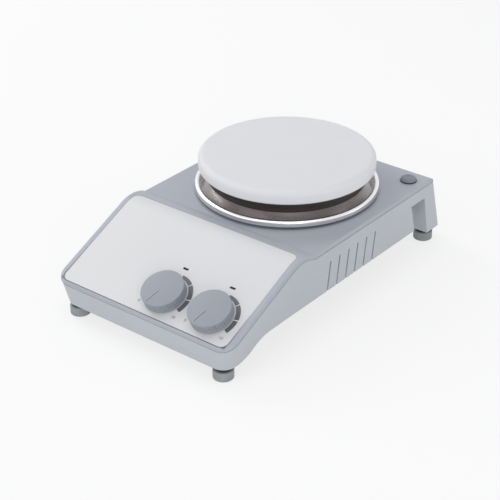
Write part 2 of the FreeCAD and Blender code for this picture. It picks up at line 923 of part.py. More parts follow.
def make_lower_casing():
    """Tapered surround with an arched underside, vents, raked rear legs and a recessed rear panel."""
    wall = value("casing_wall")
    outer = casing_block(0, 0, 0.2)
    cavity = casing_block(wall, 0.4, 0.4)
    for side in (-1, 1):
        outer = outer.cut(recess_volume(side, 0))
        cavity = cavity.cut(recess_volume(side, wall))
    outer = outer.cut(rear_window(0))
    cavity = cavity.cut(rear_window(wall))
    shell = outer.cut(cavity)
    shell = shell.fuse(casing_inner_bosses(outer)).removeSplitter()
    shell = shell.cut(arch_volume())
    shell = shell.cut(yz_prism(above_skin(value("top_wall")), -2 * HALF, 2 * HALF))
    shell = shell.cut(parting_groove())
    for tool in casing_holes():
        shell = shell.cut(tool)
    return solid_part("lower_casing", shell)


def casing_inner_bosses(outer):
    """Front foot bosses and the lugs for the base plate, kept inside the outer faces."""
    base = value("casing_base") + value("base_thickness")
    shapes = []
    for x, y in FRONT_FEET:
        height = value("foot_boss_top") - base
        shapes.append(Part.makeCylinder(value("foot_boss_radius"), height, Vector(value(x), value(y), base)))
    bottom = value(INSIDE_FLOOR)
    width = value("lug_width")
    outside = HALF - value("side_lean")
    reach = value("lug_reach") + value("casing_wall")
    for side, y in lug_spots():
        low_x = outside - reach if side > 0 else -outside
        spot = Vector(low_x, y - width / 2, bottom)
        shapes.append(Part.makeBox(reach, width, value("lug_height"), spot))
    joined = shapes[0].multiFuse(shapes[1:])
    return joined.common(outer)


def arch_volume():
    """Everything below the arched underside, from the front bosses to the rear legs."""
    lean = math.tan(math.radians(value("recess_rake")))
    leg = REAR - value("recess_start") + value("recess_width")
    top = value(RECESS_TOP)
    arch = value(ARCH)
    path = [(FRONT + value("arch_start"), 0)] + arch_path(0)
    path += [(leg + (top - arch) * lean, arch), (leg + top * lean, 0)]
    return yz_prism(path, -2 * HALF, 2 * HALF)


def parting_groove():
    """Fine groove round the casing just under the parting line."""
    depth = value("fit_gap")
    top = value("top_wall")
    rim = casing_block(-1, 0, 0.2).cut(casing_block(depth, 0.1, 0.3))
    return rim.cut(yz_prism(below_skin(top + 2 * depth), -2 * HALF, 2 * HALF))


def below_skin(depth):
    """Everything below the top casing's surface moved inwards by depth, as a side outline."""
    path = above_skin(depth)[:-2]
    return path + [(path[-1][0], -10), (path[0][0], -10)]


def casing_holes():
    """Vents, screw holes and the cut-outs of the rear panel."""
    tools = []
    wide = value("slot_width")
    inside = HALF - value("side_lean") - value("casing_wall") - 1
    for index in range(int(value("slot_count"))):
        y = value("plate_centre + slot_first") + index * value("slot_pitch") - wide / 2
        for low_x in (inside, -inside - 20):
            tools.append(Part.makeBox(20, wide, value("deck_height - slot_drop"), Vector(low_x, y, 0)))
    thread = value("screw_radius") - 0.3
    for x, y in FEET:
        start = Vector(value(x), value(y), 0)
        tools.append(Part.makeCylinder(thread, value("casing_base") + value("thread_depth"), start))
    for side, y in lug_spots():
        start = Vector(side * lug_screw_x(), y, value(ARCH))
        tools.append(Part.makeCylinder(thread, value("lug_height"), start))
    middle = value(REAR_PARTS)
    for x, width, height in (
        (value(INLET_X), value("inlet_width"), value("inlet_height")),
        (value(SWITCH_X), value("switch_width"), value("switch_height")),
    ):
        gap = value("seat_gap")
        spot = Vector(x - width / 2 - gap, value(REAR_PANEL) - 10, middle - height / 2 - gap)
        tools.append(Part.makeBox(width + 2 * gap, 20, height + 2 * gap, spot))
    start = Vector(value("fuse_x"), value(REAR_PANEL) - 10, middle)
    radius = value("fuse_body_radius") + value("seat_gap")
    tools.append(Part.makeCylinder(radius, 20, start, Vector(0, 1, 0)))
    return tools


def make_base_plate():
    """Formed sheet that closes the underside and follows its arch."""
    gap = value("fit_gap")
    lower = arch_path(0)
    upper = arch_path(value("base_thickness"))
    front = FRONT - 10
    end = value(REAR_PANEL) - value("casing_wall") - gap
    path = [(front, lower[0][1])] + lower + [(end, lower[-1][1]), (end, upper[-1][1])]
    path += backwards_path([(front, upper[0][1])] + upper)
    sheet_metal = yz_prism(path, -2 * HALF, 2 * HALF).common(casing_block(value("casing_wall") + gap, 0.1, 0.1))
    for side in (-1, 1):
        sheet_metal = sheet_metal.cut(recess_volume(side, value("casing_wall") + gap))
    for tool in base_plate_holes():
        sheet_metal = sheet_metal.cut(tool)
    return solid_part("base_plate", sheet_metal)


def base_plate_holes():
    """Screw holes, and two rows of cooling slots under the motor."""
    radius = value("screw_radius") + value("screw_clearance")
    tools = []
    for x, y in FRONT_FEET + CASING_BOSSES:
        tools.append(Part.makeCylinder(radius, HALF, Vector(value(x), value(y), 0)))
    for side, y in lug_spots():
        tools.append(Part.makeCylinder(radius, HALF, Vector(side * lug_screw_x(), y, 0)))
    length = value("stack_half_width")
    for index in range(6):
        y = value("plate_centre") + (index - 3) * value("slot_pitch")
        for low_x in (-length - 8, 8):
            tools.append(Part.makeBox(length, value("slot_width") * 2, HALF, Vector(low_x, y, 0)))
    return tools


def make_feet():
    """Rubber feet with a narrower neck, each with a recess for its screw."""
    feet = new_body("rubber_feet")
    neck = "casing_base - foot_neck_height"
    stack(feet, FEET, [("0", neck, "foot_radius"), (neck, "casing_base", "foot_neck")])
    drill(feet, FEET, "head_radius + screw_clearance", "0 - 1", "head_height + 1.4")
    drill(feet, FEET, "screw_radius + screw_clearance", "0 - 1", "casing_base + 1")
    screws = new_body("foot_screws")
    head = "head_height + 1.4"
    reach = "casing_base + base_thickness + thread_depth - 4"
    levels = [("1.4", head, "head_radius"), (head, reach, "screw_radius - 0.35")]
    stack(screws, FEET, levels)


def make_case_screws():
    """Screws up through the base plate: long ones into the top casing, short ones into the lugs."""
    under = ARCH
    head = ARCH + " - head_height"
    screws = new_body("casing_screws")
    reach = INSIDE_FLOOR + " + thread_depth - 2"
    stack(screws, CASING_BOSSES, [(head, under, "head_radius"), (under, reach, "screw_radius - 0.35")])
    lugs = new_body("base_screws")
    spots = [(str(side * lug_screw_x()), str(y)) for side, y in lug_spots()]
    reach = INSIDE_FLOOR + " + lug_height - 2"
    stack(lugs, spots, [(head, under, "head_radius - 0.6"), (under, reach, "screw_radius - 0.35")])


def make_indicators():
    """Smoked windows in the panel and the lamps on the board behind them."""
    windows = new_body("indicator_windows")
    for x, up in window_centres():
        half_wide, half_tall = "window_width / 2", "window_height / 2"
        area = rectangle(
            windows, x + " - " + half_wide, x + " + " + half_wide,
            up + " - " + half_tall, up + " + " + half_tall, level="-1 * overlay_recess - 3.4",
        )
        pad(windows, area, "overlay_recess + 3.4 - seat_gap")
    put_on_panel(windows)
    lamps = new_body("indicator_lamps")
    stack(lamps, window_centres(), [("-1 * board_depth", "-1 * overlay_recess - 3.7", "window_height")])
    put_on_panel(lamps)


def make_knob(name, x):
    """Knurled knob with a blind bore, a recess for the nut and a groove for the pointer."""
    top = "knob_gap + knob_height"
    nut = "knob_gap + 3.2"
    knob = turned(name + "_knob", [
        ("bush_radius + 2.4", "knob_gap"), ("knob_radius", "knob_gap"),
        ("knob_radius", top + " - 0.5"), ("knob_radius - 0.5", top), ("0", top),
        ("0", "knob_gap + knob_bore_depth"), ("shaft_radius + 0.05", "knob_gap + knob_bore_depth"),
        ("shaft_radius + 0.05", nut), ("bush_radius + 2.4", nut),
    ])
    tooth = outline(knob, [
        ("knob_radius - knurl_depth", "0"), ("knob_radius + 0.2", "-1 * knurl_depth - 0.1"),
        ("knob_radius + 0.2", "knurl_depth + 0.1"),
    ], level="knob_gap + 0.6")
    notch = cut(knob, tooth, "knob_height - 1.3")
    knurl = knob.newObject("PartDesign::PolarPattern", name + "_knurl")
    knurl.Originals = [notch]
    knurl.Axis = (tooth, ["N_Axis"])
    knurl.Angle = 360
    knurl.setExpression("Occurrences", bound("knurl_count"))
    knob.Tip = knurl
    doc.recompute()
    pointer_low = "1.2 - knob_radius"
    pointer_box = [
        "-1 * pointer_width / 2", "pointer_width / 2", pointer_low, pointer_low + " + pointer_length",
    ]
    groove = rectangle(knob, *pointer_box, level=top + " - 0.5")
    cut(knob, groove, "1")
    inlay = new_body(name + "_pointer")
    gap = "seat_gap / 3"
    area = rectangle(
        inlay, pointer_box[0] + " + " + gap, pointer_box[1] + " - " + gap,
        pointer_box[2] + " + " + gap, pointer_box[3] + " - " + gap, level=top + " - 0.5",
    )
    pad(inlay, area, "0.4")
    shaft = turned(name + "_shaft", [
        ("0", "-1 * board_depth + 3.6"), ("shaft_radius", "-1 * board_depth + 3.6"),
        ("shaft_radius", "knob_gap + knob_bore_depth - 0.2"), ("0", "knob_gap + knob_bore_depth - 0.2"),
    ])
    for body in (knob, inlay, shaft):
        put_on_panel(body, x, "knob_up")
        spin = Rotation(Vector(1, 0, 0), value("panel_slope")).multiply(
            Rotation(Vector(0, 0, 1), -value("pointer_angle")))
        body.Placement = Placement(body.Placement.Base, spin)
    make_potentiometer(name, x)


def make_potentiometer(name, x):
    """Round body on the board with a threaded bush that the knob's shaft turns in."""
    bore = "shaft_radius + shaft_running"
    body = turned(name + "_potentiometer", [
        ("0", "-1 * board_depth"), ("pot_radius", "-1 * board_depth"),
        ("pot_radius", "pot_height - board_depth"), ("bush_radius", "pot_height - board_depth"),
        ("bush_radius", "bush_top"), (bore, "bush_top"), (bore, "-1 * board_depth + 3"),
        ("0", "-1 * board_depth + 3"),
    ])
    put_on_panel(body, x, "knob_up")


def make_potentiometer_nuts():
    """Ring nuts that hold both bushes to the panel."""
    nuts = new_body("potentiometer_nuts")
    stack(nuts, KNOBS, [("-1 * overlay_recess", "2 - overlay_recess", "bush_radius + 1.8")])
    drill(nuts, KNOBS, "bush_radius + 0.05")
    put_on_panel(nuts)


def on_board(label, x_low, x_high, up_low, up_high, height):
    """A rectangular component standing on the board."""
    body = block(label, x_low, x_high, up_low, up_high, "-1 * board_depth", height + " - board_depth")
    return put_on_panel(body)


def make_board():
    """Circuit board hung under the panel, its main components and its screws."""
    low = "-1 * board_depth - board_thickness"
    board = block("control_board", "board_left", BOARD_RIGHT, "board_low", "board_high", low, "-1 * board_depth")
    drill(board, BOARD_POSTS, "screw_radius - 0.5")
    put_on_panel(board)
    on_board("board_capacitor", "board_left + 1", "board_left + 17", "31", "40", "8")
    on_board("board_transformer", HEAT_X + " + 9", HEAT_X + " + 33", "33", "board_high - 3", "8.6")
    on_board("board_triac", "board_left + 2", "board_left + 12", "17", "21.6", "9")
    on_board("board_terminals", HEAT_X + " + 12", STIR_X + " - 12", "board_low + 1", "board_low + 9", "8.8")
    screws = new_body("board_screws")
    stack(screws, BOARD_POSTS, [
        (low + " - 1.8", low, "screw_radius + 0.8"), (low, "-1 * board_depth + 5", "screw_radius - 0.6"),
    ])
    put_on_panel(screws)
    drill_posts()


def drill_posts():
    """Threads in the posts that carry the board."""
    casing = doc.getObject("top_casing")
    holes = panel_rings(casing, BOARD_POSTS, "screw_radius - 0.55", "-1 * board_depth - 1")
    cut(casing, holes, "7")


def is_ring_at(edge, level):
    """A full circle that lies at one height."""
    box = edge.BoundBox
    return box.ZLength < 0.01 and abs(box.ZMin - level) < 0.01 and box.XLength > value("plate_radius")


def make_hotplate():
    """Coated aluminium plate with rounded edges and blind threads for its pillars."""
    plate = turned("hotplate", [
        ("0", PLATE_UNDER), ("plate_radius", PLATE_UNDER), ("plate_radius", PLATE_TOP), ("0", PLATE_TOP),
    ])
    for radius, level in (("plate_round", value(PLATE_TOP)), ("plate_under_round", value(PLATE_UNDER))):
        round_edges(plate, radius, lambda edge: is_ring_at(edge, level))
    drill(plate, PILLARS, "screw_radius + 0.05", PLATE_UNDER + " - 1", PLATE_UNDER + " + 5")
    put(plate, y="plate_centre")


def make_heater():
    """Heating element against the plate, insulation below it, and the stepped steel cover."""
    element = new_body("heating_element")
    low = PLATE_UNDER + " - 0.1 - heater_thickness"
    stack(element, [("0", "0")], [(low, PLATE_UNDER + " - 0.1", "heater_radius")])
    drill(element, [("0", "0")], "ring_opening")
    drill(element, PILLARS, "pillar_radius")
    drill(element, SENSOR, "screw_radius")
    put(element, y="plate_centre")
    insulation = new_body("insulation_disc")
    floor = COVER_FLOOR + " + cover_wall + 0.1"
    stack(insulation, [("0", "0")], [(floor, low + " - 0.1", "heater_radius")])
    drill(insulation, PILLARS, "pillar_radius")
    drill(insulation, GROMMET, "grommet_radius")
    put(insulation, y="plate_centre")
    inner = "cover_radius - cover_step"
    top = PLATE_UNDER + " - 0.2"
    step, bottom = COVER_STEP + " + cover_wall", COVER_FLOOR + " + cover_wall"
    cover = turned("heater_cover", [
        ("0", COVER_FLOOR), (inner, COVER_FLOOR), (inner, COVER_STEP), ("cover_radius", COVER_STEP),
        ("cover_radius", top), ("cover_radius - cover_wall", top), ("cover_radius - cover_wall", step),
        (inner + " - cover_wall", step), (inner + " - cover_wall", bottom), ("0", bottom),
    ])
    drill(cover, PILLARS, "screw_radius + screw_clearance")
    drill(cover, GROMMET, "grommet_radius")
    put(cover, y="plate_centre")


def make_drip_ring():
    """Polished dish under the plate: flat floor, rising curve, rolled rim with a short skirt."""
    ring = new_body("drip_ring")
    wall = value("ring_wall")
    floor = value("deck_height")
    outer = value("ring_radius")
    top = floor + value("ring_height")
    bead = value("ring_bead")
    flat = value("ring_floor_radius")
    opening = value("ring_opening")
    skirt = top - value("ring_skirt")
    inner_end = (outer - bead - wall, top - 0.4 * wall)
    sag = (inner_end[1] - floor) * 0.28
    middle_r = (flat + inner_end[0]) / 2
    path = [
        (opening, floor),
        (flat, floor),
        (outer - bead, top - 2 * wall, (middle_r + wall, floor + sag)),
        (outer - wall, top - 2.4 * wall),
        (outer - wall, skirt),
        (outer, skirt),
        (outer, top - bead),
        (outer - bead, top, (outer - 0.3 * bead, top - 0.3 * bead)),
        inner_end,
        (flat, floor + wall, (middle_r, floor + sag + wall)),
        (opening, floor + wall),
    ]
    sketch = new_sketch(ring, "XZ_Plane")
    draw_path(sketch, path)
    turn(ring, sketch)
    drill(ring, PILLARS, "screw_radius + screw_clearance")
    drill(ring, GROMMET, "grommet_radius")
    put(ring, y="plate_centre")


def make_pillars():
    """Sleeves between the ring and the heater cover, and the long screws through them."""
    sleeves = new_body("pillars")
    foot = "deck_height + ring_wall"
    stack(sleeves, PILLARS, [(foot, COVER_FLOOR, "pillar_radius")])
    drill(sleeves, PILLARS, "screw_radius + screw_clearance")
    put(sleeves, y="plate_centre")
    screws = new_body("plate_screws")
    head = UNDER_DECK + " - head_height"
    reach = PLATE_UNDER + " + 4.5"
    stack(screws, PILLARS, [(head, UNDER_DECK, "head_radius"), (UNDER_DECK, reach, "screw_radius")])
    put(screws, y="plate_centre")


def make_leads():
    """Heater leads and sensor tube, through a grommet in the deck to a terminal block below it."""
    grommet = new_body("lead_grommet")
    lip = "deck_height + ring_wall"
    stack(grommet, GROMMET, [
        (UNDER_DECK + " - 1", UNDER_DECK, "grommet_radius + 1.4"),
        (UNDER_DECK, lip, "grommet_radius - 0.1"),
        (lip, lip + " + 1", "grommet_radius + 1.4"),
    ])
    drill(grommet, LEADS, "1.5")
    drill(grommet, SENSOR, "1.4")
    put(grommet, y="plate_centre")
    leads = new_body("heater_leads")
    stack(leads, LEADS, [(TERMINAL_TOP + " - 4", PLATE_UNDER + " - heater_thickness - 0.2", "1.3")])
    put(leads, y="plate_centre")
    probe = new_body("sensor_probe")
    stack(probe, SENSOR, [(TERMINAL_TOP + " - 4", PLATE_UNDER + " - 0.1", "1.2")])
    put(probe, y="plate_centre")
    terminals = new_body("terminal_block")
    low = TERMINAL_TOP + " - 9"
    area = rectangle(terminals, "-17", "17", "lead_offset - 6", "lead_offset + 7", level=low)
    pad(terminals, area, "9")
    drill(terminals, LEADS, "1.5", low + " + 4", TERMINAL_TOP + " + 1")
    drill(terminals, SENSOR, "1.4", low + " + 4", TERMINAL_TOP + " + 1")
    put(terminals, y="plate_centre")


BOLTS = [("-19.5", "-11"), ("19.5", "-11"), ("19.5", "11"), ("-19.5", "11")]
AXIS = [("0", "0")]


def make_stator():
    """Laminated core: a C-frame with the rotor's bore at one end and the coil's limb at the other."""
    core = new_body("stator_core")
    wide = "stack_half_width"
    front, back = "-1 * stack_front", "stack_back"
    area = outline(core, [
        ("-1 * " + wide, front), (wide, front), (wide, back + " - 5"), (wide + " - 5", back),
        ("-1 * " + wide + " + 5", back), ("-1 * " + wide, back + " - 5"),
    ], level=STACK_BOTTOM)
    pad(core, area, "stack_height")
    opening = rectangle(
        core, "-1 * window_half", "window_half", front + " + limb_width", "-1 * rotor_radius - 4.6",
        level=STACK_BOTTOM + " - 1",
    )
    cut(core, opening, "stack_height + 2")
    drill(core, AXIS, "rotor_radius + air_gap")
    drill(core, BOLTS, "screw_radius - 0.2")
    bars = new_body("shading_bars")
    for x_low, x_high, y_low, y_high in (("14.4", "16", "2", "8"), ("-16", "-14.4", "-8", "-2")):
        slot = rectangle(core, x_low, x_high, y_low, y_high, level=STACK_BOTTOM + " - 1")
        cut(core, slot, "stack_height + 2")
        bar = rectangle(
            bars, x_low + " + 0.05", x_high + " - 0.05", y_low + " + 0.05", y_high + " - 0.05",
            level=STACK_BOTTOM,
        )
        pad(bars, bar, "stack_height")
    put(core, y="plate_centre")
    put(bars, y="plate_centre")


def square_tube(body, x_half, inner, outer, x_centre="0"):
    """A tube round the coil's limb, from -x_half to x_half, between two distances from the limb."""
    near = "0 - stack_front"
    far = "limb_width - stack_front"
    low, high = STACK_BOTTOM, STACK_TOP
    area = rectangle(
        body, near + " - " + outer, far + " + " + outer, low + " - " + outer, high + " + " + outer,
        role="YZ_Plane", level=x_centre + " - " + x_half,
    )
    pad(body, area, "2 * " + x_half)
    hole = rectangle(
        body, near + " - " + inner, far + " + " + inner, low + " - " + inner, high + " + " + inner,
        role="YZ_Plane", level=x_centre + " - " + x_half + " - 1",
    )
    return hole


def make_coil():
    """Flanged bobbin round the limb and the winding on it."""
    bobbin = new_body("coil_bobbin")
    square_tube(bobbin, "14.8", "0.2", "1.2")
    for x in ("-14.3", "14.3"):
        square_tube(bobbin, "0.5", "0.2", "5.2", x)
    through = rectangle(
        bobbin, "0 - stack_front - 0.2", "limb_width - stack_front + 0.2", STACK_BOTTOM + " - 0.2",
        STACK_TOP + " + 0.2", role="YZ_Plane", level="-20",
    )
    cut(bobbin, through, "40")
    put(bobbin, y="plate_centre")
    winding = new_body("motor_winding")
    hole = square_tube(winding, "13.6", "1.3", "winding_build + 0.4")
    cut(winding, hole, "30")
    put(winding, y="plate_centre")


def make_rotor():
    """Cage rotor, its spindle, and the carrier with the two drive magnets."""
    seat = "spindle_radius + spindle_running"
    rotor = new_body("rotor")
    stack(rotor, AXIS, [(STACK_BOTTOM + " + 0.5", STACK_TOP + " - 0.5", "rotor_radius")])
    drill(rotor, AXIS, seat)
    put(rotor, y="plate_centre")
    spindle = new_body("spindle")
    stack(spindle, AXIS, [(SPINDLE_BOTTOM, MAGNET_TOP + " - 2", "spindle_radius")])
    put(spindle, y="plate_centre")
    carrier = new_body("magnet_carrier")
    stack(carrier, AXIS, [
        (HUB_BOTTOM, CARRIER_LOW, "hub_radius"),
        (CARRIER_LOW, CARRIER_LOW + " + carrier_thickness", "carrier_radius"),
        (CARRIER_LOW + " + carrier_thickness", MAGNET_TOP + " - 1.6", "hub_radius"),
    ])
    drill(carrier, AXIS, seat)
    put(carrier, y="plate_centre")
    magnets = new_body("drive_magnets")
    for side in ("-1 * magnet_spread", "magnet_spread"):
        area = rectangle(
            magnets, side + " - magnet_width / 2", side + " + magnet_width / 2",
            "-1 * magnet_length / 2", "magnet_length / 2", level=MAGNET_TOP + " - magnet_height",
        )
        pad(magnets, area, "magnet_height")
    put(magnets, y="plate_centre")


def make_brackets():
    """Plates above and below the core that hold the bushes, and the screws of both."""
    running = "spindle_radius + spindle_running"
    upper = block("upper_bracket", "-1 * post_x - 5", "post_x + 5", "-20", "20", STACK_TOP, BRACKET_TOP)
    drill(upper, AXIS, "4.05")
    drill(upper, BOLTS, "screw_radius - 0.2")
    drill(upper, MOTOR_POSTS, "screw_radius")
    put(upper, y="plate_centre")
    lower = block(
        "lower_bracket", "-1 * stack_half_width", "stack_half_width", "-15", "15",
        STACK_BOTTOM + " - bracket_thickness", STACK_BOTTOM,
    )
    drill(lower, AXIS, "4.05")
    drill(lower, BOLTS, "screw_radius - 0.2")
    put(lower, y="plate_centre")
    top_bush = new_body("upper_bush")
    stack(top_bush, AXIS, [
        (STACK_TOP + " + 0.1", BRACKET_TOP, "4"), (BRACKET_TOP, BRACKET_TOP + " + 1.2", "6"),
        (BRACKET_TOP + " + 1.2", HUB_BOTTOM + " - 0.5", "4"),
    ])
    drill(top_bush, AXIS, running)
    put(top_bush, y="plate_centre")
    low_bush = new_body("lower_bush")
    plate_low = STACK_BOTTOM + " - bracket_thickness"
    stack(low_bush, AXIS, [
        (SPINDLE_BOTTOM + " + 0.2", plate_low + " - 1.2", "4"),
        (plate_low + " - 1.2", plate_low, "6"), (plate_low, STACK_BOTTOM + " - 0.1", "4"),
    ])
    drill(low_bush, AXIS, running)
    put(low_bush, y="plate_centre")
    bolts = new_body("motor_bolts")
    stack(bolts, BOLTS, [
        (plate_low + " - 2", plate_low, "2.9"), (plate_low, BRACKET_TOP, "screw_radius - 0.3"),
        (BRACKET_TOP, BRACKET_TOP + " + 2", "2.9"),
    ])
    put(bolts, y="plate_centre")
    screws = new_body("bracket_screws")
    stack(screws, MOTOR_POSTS, [
        (STACK_TOP + " - 2", STACK_TOP, "3.2"),
        (STACK_TOP, BRACKET_TOP + " + thread_depth / 2 - 1", "screw_radius - 0.35"),
    ])
    put(screws, y="plate_centre")


def rear_block(body, x, wide, tall, y_low, length):
    """Add a block on the rear panel, centred across at x and at the mains parts' height."""
    area = rectangle(
        body, x + " - " + wide + " / 2", x + " + " + wide + " / 2",
        REAR_PARTS + " - " + tall + " / 2", REAR_PARTS + " + " + tall + " / 2",
        role="XZ_Plane", level="0 - " + minus(y_low) + " - " + length,
    )
    return area


def make_inlet():
    """Appliance inlet: flanged housing open to the rear, with three blades inside."""
    housing = new_body("inlet_housing")
    pad(housing, rear_block(housing, INLET_X, "30", "24", REAR_PANEL, "flange_thickness"), "flange_thickness")
    body_low = REAR_PANEL + " - inlet_depth"
    box = rear_block(housing, INLET_X, "inlet_width", "inlet_height", body_low, "inlet_depth")
    pad(housing, box, "inlet_depth")
    socket = rear_block(housing, INLET_X, "24.2", "16.4", REAR_PANEL + " - 15", "17.5")
    cut(housing, socket, "17.5")
    pins = new_body("inlet_pins")
    for dx, dz in ((" - 7", " - 2"), (" + 7", " - 2"), ("", " + 2")):
        x = INLET_X + dx
        z = REAR_PARTS + dz
        area = rectangle(
            pins, x + " - 1", x + " + 1", z + " - 2", z + " + 2",
            role="XZ_Plane", level="0 - " + minus(REAR_PANEL) + " + 1.5",
        )
        pad(pins, area, "13.5")


def rear_turned(label, corners, x):
    """A body turned about an axis that points to the rear; heights run rearwards from the panel."""
    body = turned(label, corners)
    body.Placement = Placement(Vector(), Rotation(Vector(1, 0, 0), -90))
    return put(body, x, REAR_PANEL, REAR_PARTS)


def make_fuse():
    """Panel fuse holder with its nut, screw cap and glass fuse."""
    bore = "fuse_body_radius - 1"
    flange = "flange_thickness"
    rear_turned("fuse_holder", [
        ("0", "-28"), ("fuse_body_radius", "-28"), ("fuse_body_radius", "0"), ("fuse_body_radius + 1.8", "0"),
        ("fuse_body_radius + 1.8", flange), (bore, flange), (bore, "-26"), ("0", "-26"),
    ], "fuse_x")
    rear_turned("fuse_nut", [
        ("fuse_body_radius + 0.05", "-1 * casing_wall - 3"), ("fuse_body_radius + 2.6", "-1 * casing_wall - 3"),
        ("fuse_body_radius + 2.6", "-1 * casing_wall"), ("fuse_body_radius + 0.05", "-1 * casing_wall"),
    ], "fuse_x")
    rear_turned("fuse_cap", [
        ("0", "-3"), ("2.6", "-3"), ("2.6", "-7"), (bore + " - 0.3", "-7"), (bore + " - 0.3", flange + " + 0.1"),
        ("fuse_body_radius - 0.2", flange + " + 0.1"), ("fuse_body_radius - 0.2", flange + " + 4.4"),
        ("fuse_body_radius - 0.8", flange + " + 5"), ("0", flange + " + 5"),
    ], "fuse_x")
    rear_turned("fuse", [("0", "-23.1"), ("2.5", "-23.1"), ("2.5", "-3.1"), ("0", "-3.1")], "fuse_x")


def make_switch():
    """Mains switch: framed housing and a rocker tilted to its off side."""
    housing = new_body("switch_housing")
    wide, tall = "switch_width", "switch_height"
    pad(housing, rear_block(housing, SWITCH_X, "21", "15", REAR_PANEL, "flange_thickness"), "flange_thickness")
    pad(housing, rear_block(housing, SWITCH_X, wide, tall, REAR_PANEL + " - 15", "15"), "15")
    cut(housing, rear_block(housing, SWITCH_X, "17.7", "10.8", REAR_PANEL + " - 5.5", "8"), "8")
    rocker = new_body("switch_rocker")
    area = outline(rocker, [
        ("-8.2", "-3.4"), ("8.2", "-3.4"), ("8.2", "3.2"), ("0", "1.3"), ("-8.2", "3.2"),
    ], level="-5.1")
    pad(rocker, area, "10.2")
    rocker.Placement = Placement(Vector(), Rotation(Vector(0, 0, 1), value("rocker_tilt")))
    put(rocker, SWITCH_X, REAR_PANEL + " + 0.2", REAR_PARTS)


def make_rod_socket():
    """Threaded insert for a support rod, and the rubber cap that closes it."""
    insert = new_body("socket_insert")
    low = "deck_height - socket_depth"
    stack(insert, SOCKET, [(low, "deck_height - 0.2", "socket_thread_radius + insert_wall")])
    drill(insert, SOCKET, "socket_thread_radius")
    top = "deck_height + cap_height"
    cap = turned("socket_cap", [
        ("0", "deck_height - 6"), ("socket_thread_radius - 0.3", "deck_height - 6"),
        ("socket_thread_radius - 0.3", "deck_height + 0.05"), ("cap_radius", "deck_height + 0.05"),
        ("cap_radius", top + " - 1.4"), ("cap_radius - 0.9", top + " - 0.3"), ("cap_radius - 2.2", top),
        ("0", top),
    ])
    put(cap, *SOCKET[0])


def check_and_write():
    """Stop on any failed object, then write each sub-part's shape to its own file."""
    doc.recompute()
    for thing in doc.Objects:
        if "Invalid" in thing.State or "Error" in thing.State:
            raise ValueError("failed: " + thing.Label)
    for part in parts:
        shape = part.Shape
        if shape.isNull() or not shape.isValid() or not shape.Solids:
            raise ValueError("bad shape: " + part.Label)
    os.makedirs("parts", exist_ok=True)
    for part in parts:
        part.Shape.exportStep("parts/%s.step" % part.Label)


make_top_casing()
make_lower_casing()
make_base_plate()
make_feet()
make_case_screws()
make_panel_overlay()
make_indicators()
make_knob("heat", HEAT_X)
make_knob("stir", STIR_X)
make_potentiometer_nuts()
make_board()
make_hotplate()
make_heater()
make_drip_ring()
make_pillars()
make_leads()
make_stator()
make_coil()
make_rotor()
make_brackets()
make_inlet()
make_fuse()
make_switch()
make_rod_socket()
check_and_write()
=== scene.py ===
"""Hotplate magnetic stirrer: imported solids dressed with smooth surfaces, print, finishes and a studio."""

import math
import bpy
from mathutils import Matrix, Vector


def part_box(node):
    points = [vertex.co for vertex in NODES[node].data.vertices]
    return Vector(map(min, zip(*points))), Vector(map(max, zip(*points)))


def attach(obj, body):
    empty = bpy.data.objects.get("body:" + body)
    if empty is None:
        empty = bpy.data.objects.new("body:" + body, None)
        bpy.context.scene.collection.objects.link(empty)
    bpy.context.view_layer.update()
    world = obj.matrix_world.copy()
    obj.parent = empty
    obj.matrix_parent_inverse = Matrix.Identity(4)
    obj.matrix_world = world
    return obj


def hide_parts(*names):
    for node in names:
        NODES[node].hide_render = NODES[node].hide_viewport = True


bl_info = {
    "name": "Hotplate Stirrer Dressing",
    "version": (1, 0, 0),
    "blender": (4, 5, 0),
    "location": "View3D > Sidebar > Stirrer",
    "description": "Plate, drip ring, dials, printed panel, feet and finishes of a small hotplate stirrer",
    "category": "Object",
}

from types import SimpleNamespace

import bpy
import numpy as np
from mathutils import Vector

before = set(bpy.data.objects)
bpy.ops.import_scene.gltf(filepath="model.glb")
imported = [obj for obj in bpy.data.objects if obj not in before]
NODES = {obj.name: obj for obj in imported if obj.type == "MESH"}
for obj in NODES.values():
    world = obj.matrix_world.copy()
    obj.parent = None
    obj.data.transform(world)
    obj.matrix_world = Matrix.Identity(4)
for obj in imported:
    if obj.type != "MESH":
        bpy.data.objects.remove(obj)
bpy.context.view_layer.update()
MM = 0.001


def node_size(node, axis):
    """One side of a node's box, in millimetres."""
    low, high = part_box(node)
    return (high[axis] - low[axis]) / MM


def node_span(node):
    """Lowest and highest point of a node, in millimetres."""
    low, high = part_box(node)
    return low[2] / MM, high[2] / MM


def node_middle(node):
    """Centre of a node's box in plan, in metres."""
    low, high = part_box(node)
    return (low[0] + high[0]) / 2, (low[1] + high[1]) / 2


# Sizes and colours that a user would change


def length_of(label, default, about):
    """A length property with its label, default in millimetres and meaning; it is stored in metres."""
    return bpy.props.FloatProperty(
        name=label, description=about, default=default * MM, min=0.01 * MM, precision=4, unit="LENGTH"
    )


def in_millimetres(group):
    """The lengths of a property group as plain numbers in millimetres."""
    names = [name for name in group.bl_rna.properties.keys() if name not in ("rna_type", "name")]
    return SimpleNamespace(**{name: getattr(group, name) / MM for name in names})


def colour_of(label, code, about):
    """A colour, given as an sRGB hex code, with its label and meaning."""
    return bpy.props.FloatVectorProperty(
        name=label, description=about, subtype="COLOR", size=4, min=0.0, max=1.0, default=linear(code)
    )


def linear(code):
    """An sRGB hex code as linear red, green, blue and alpha."""
    levels = [int(code[index:index + 2], 16) / 255 for index in (1, 3, 5)]
    return tuple(
        level / 12.92 if level <= 0.04045 else ((level + 0.055) / 1.055) ** 2.4 for level in levels
    ) + (1.0,)


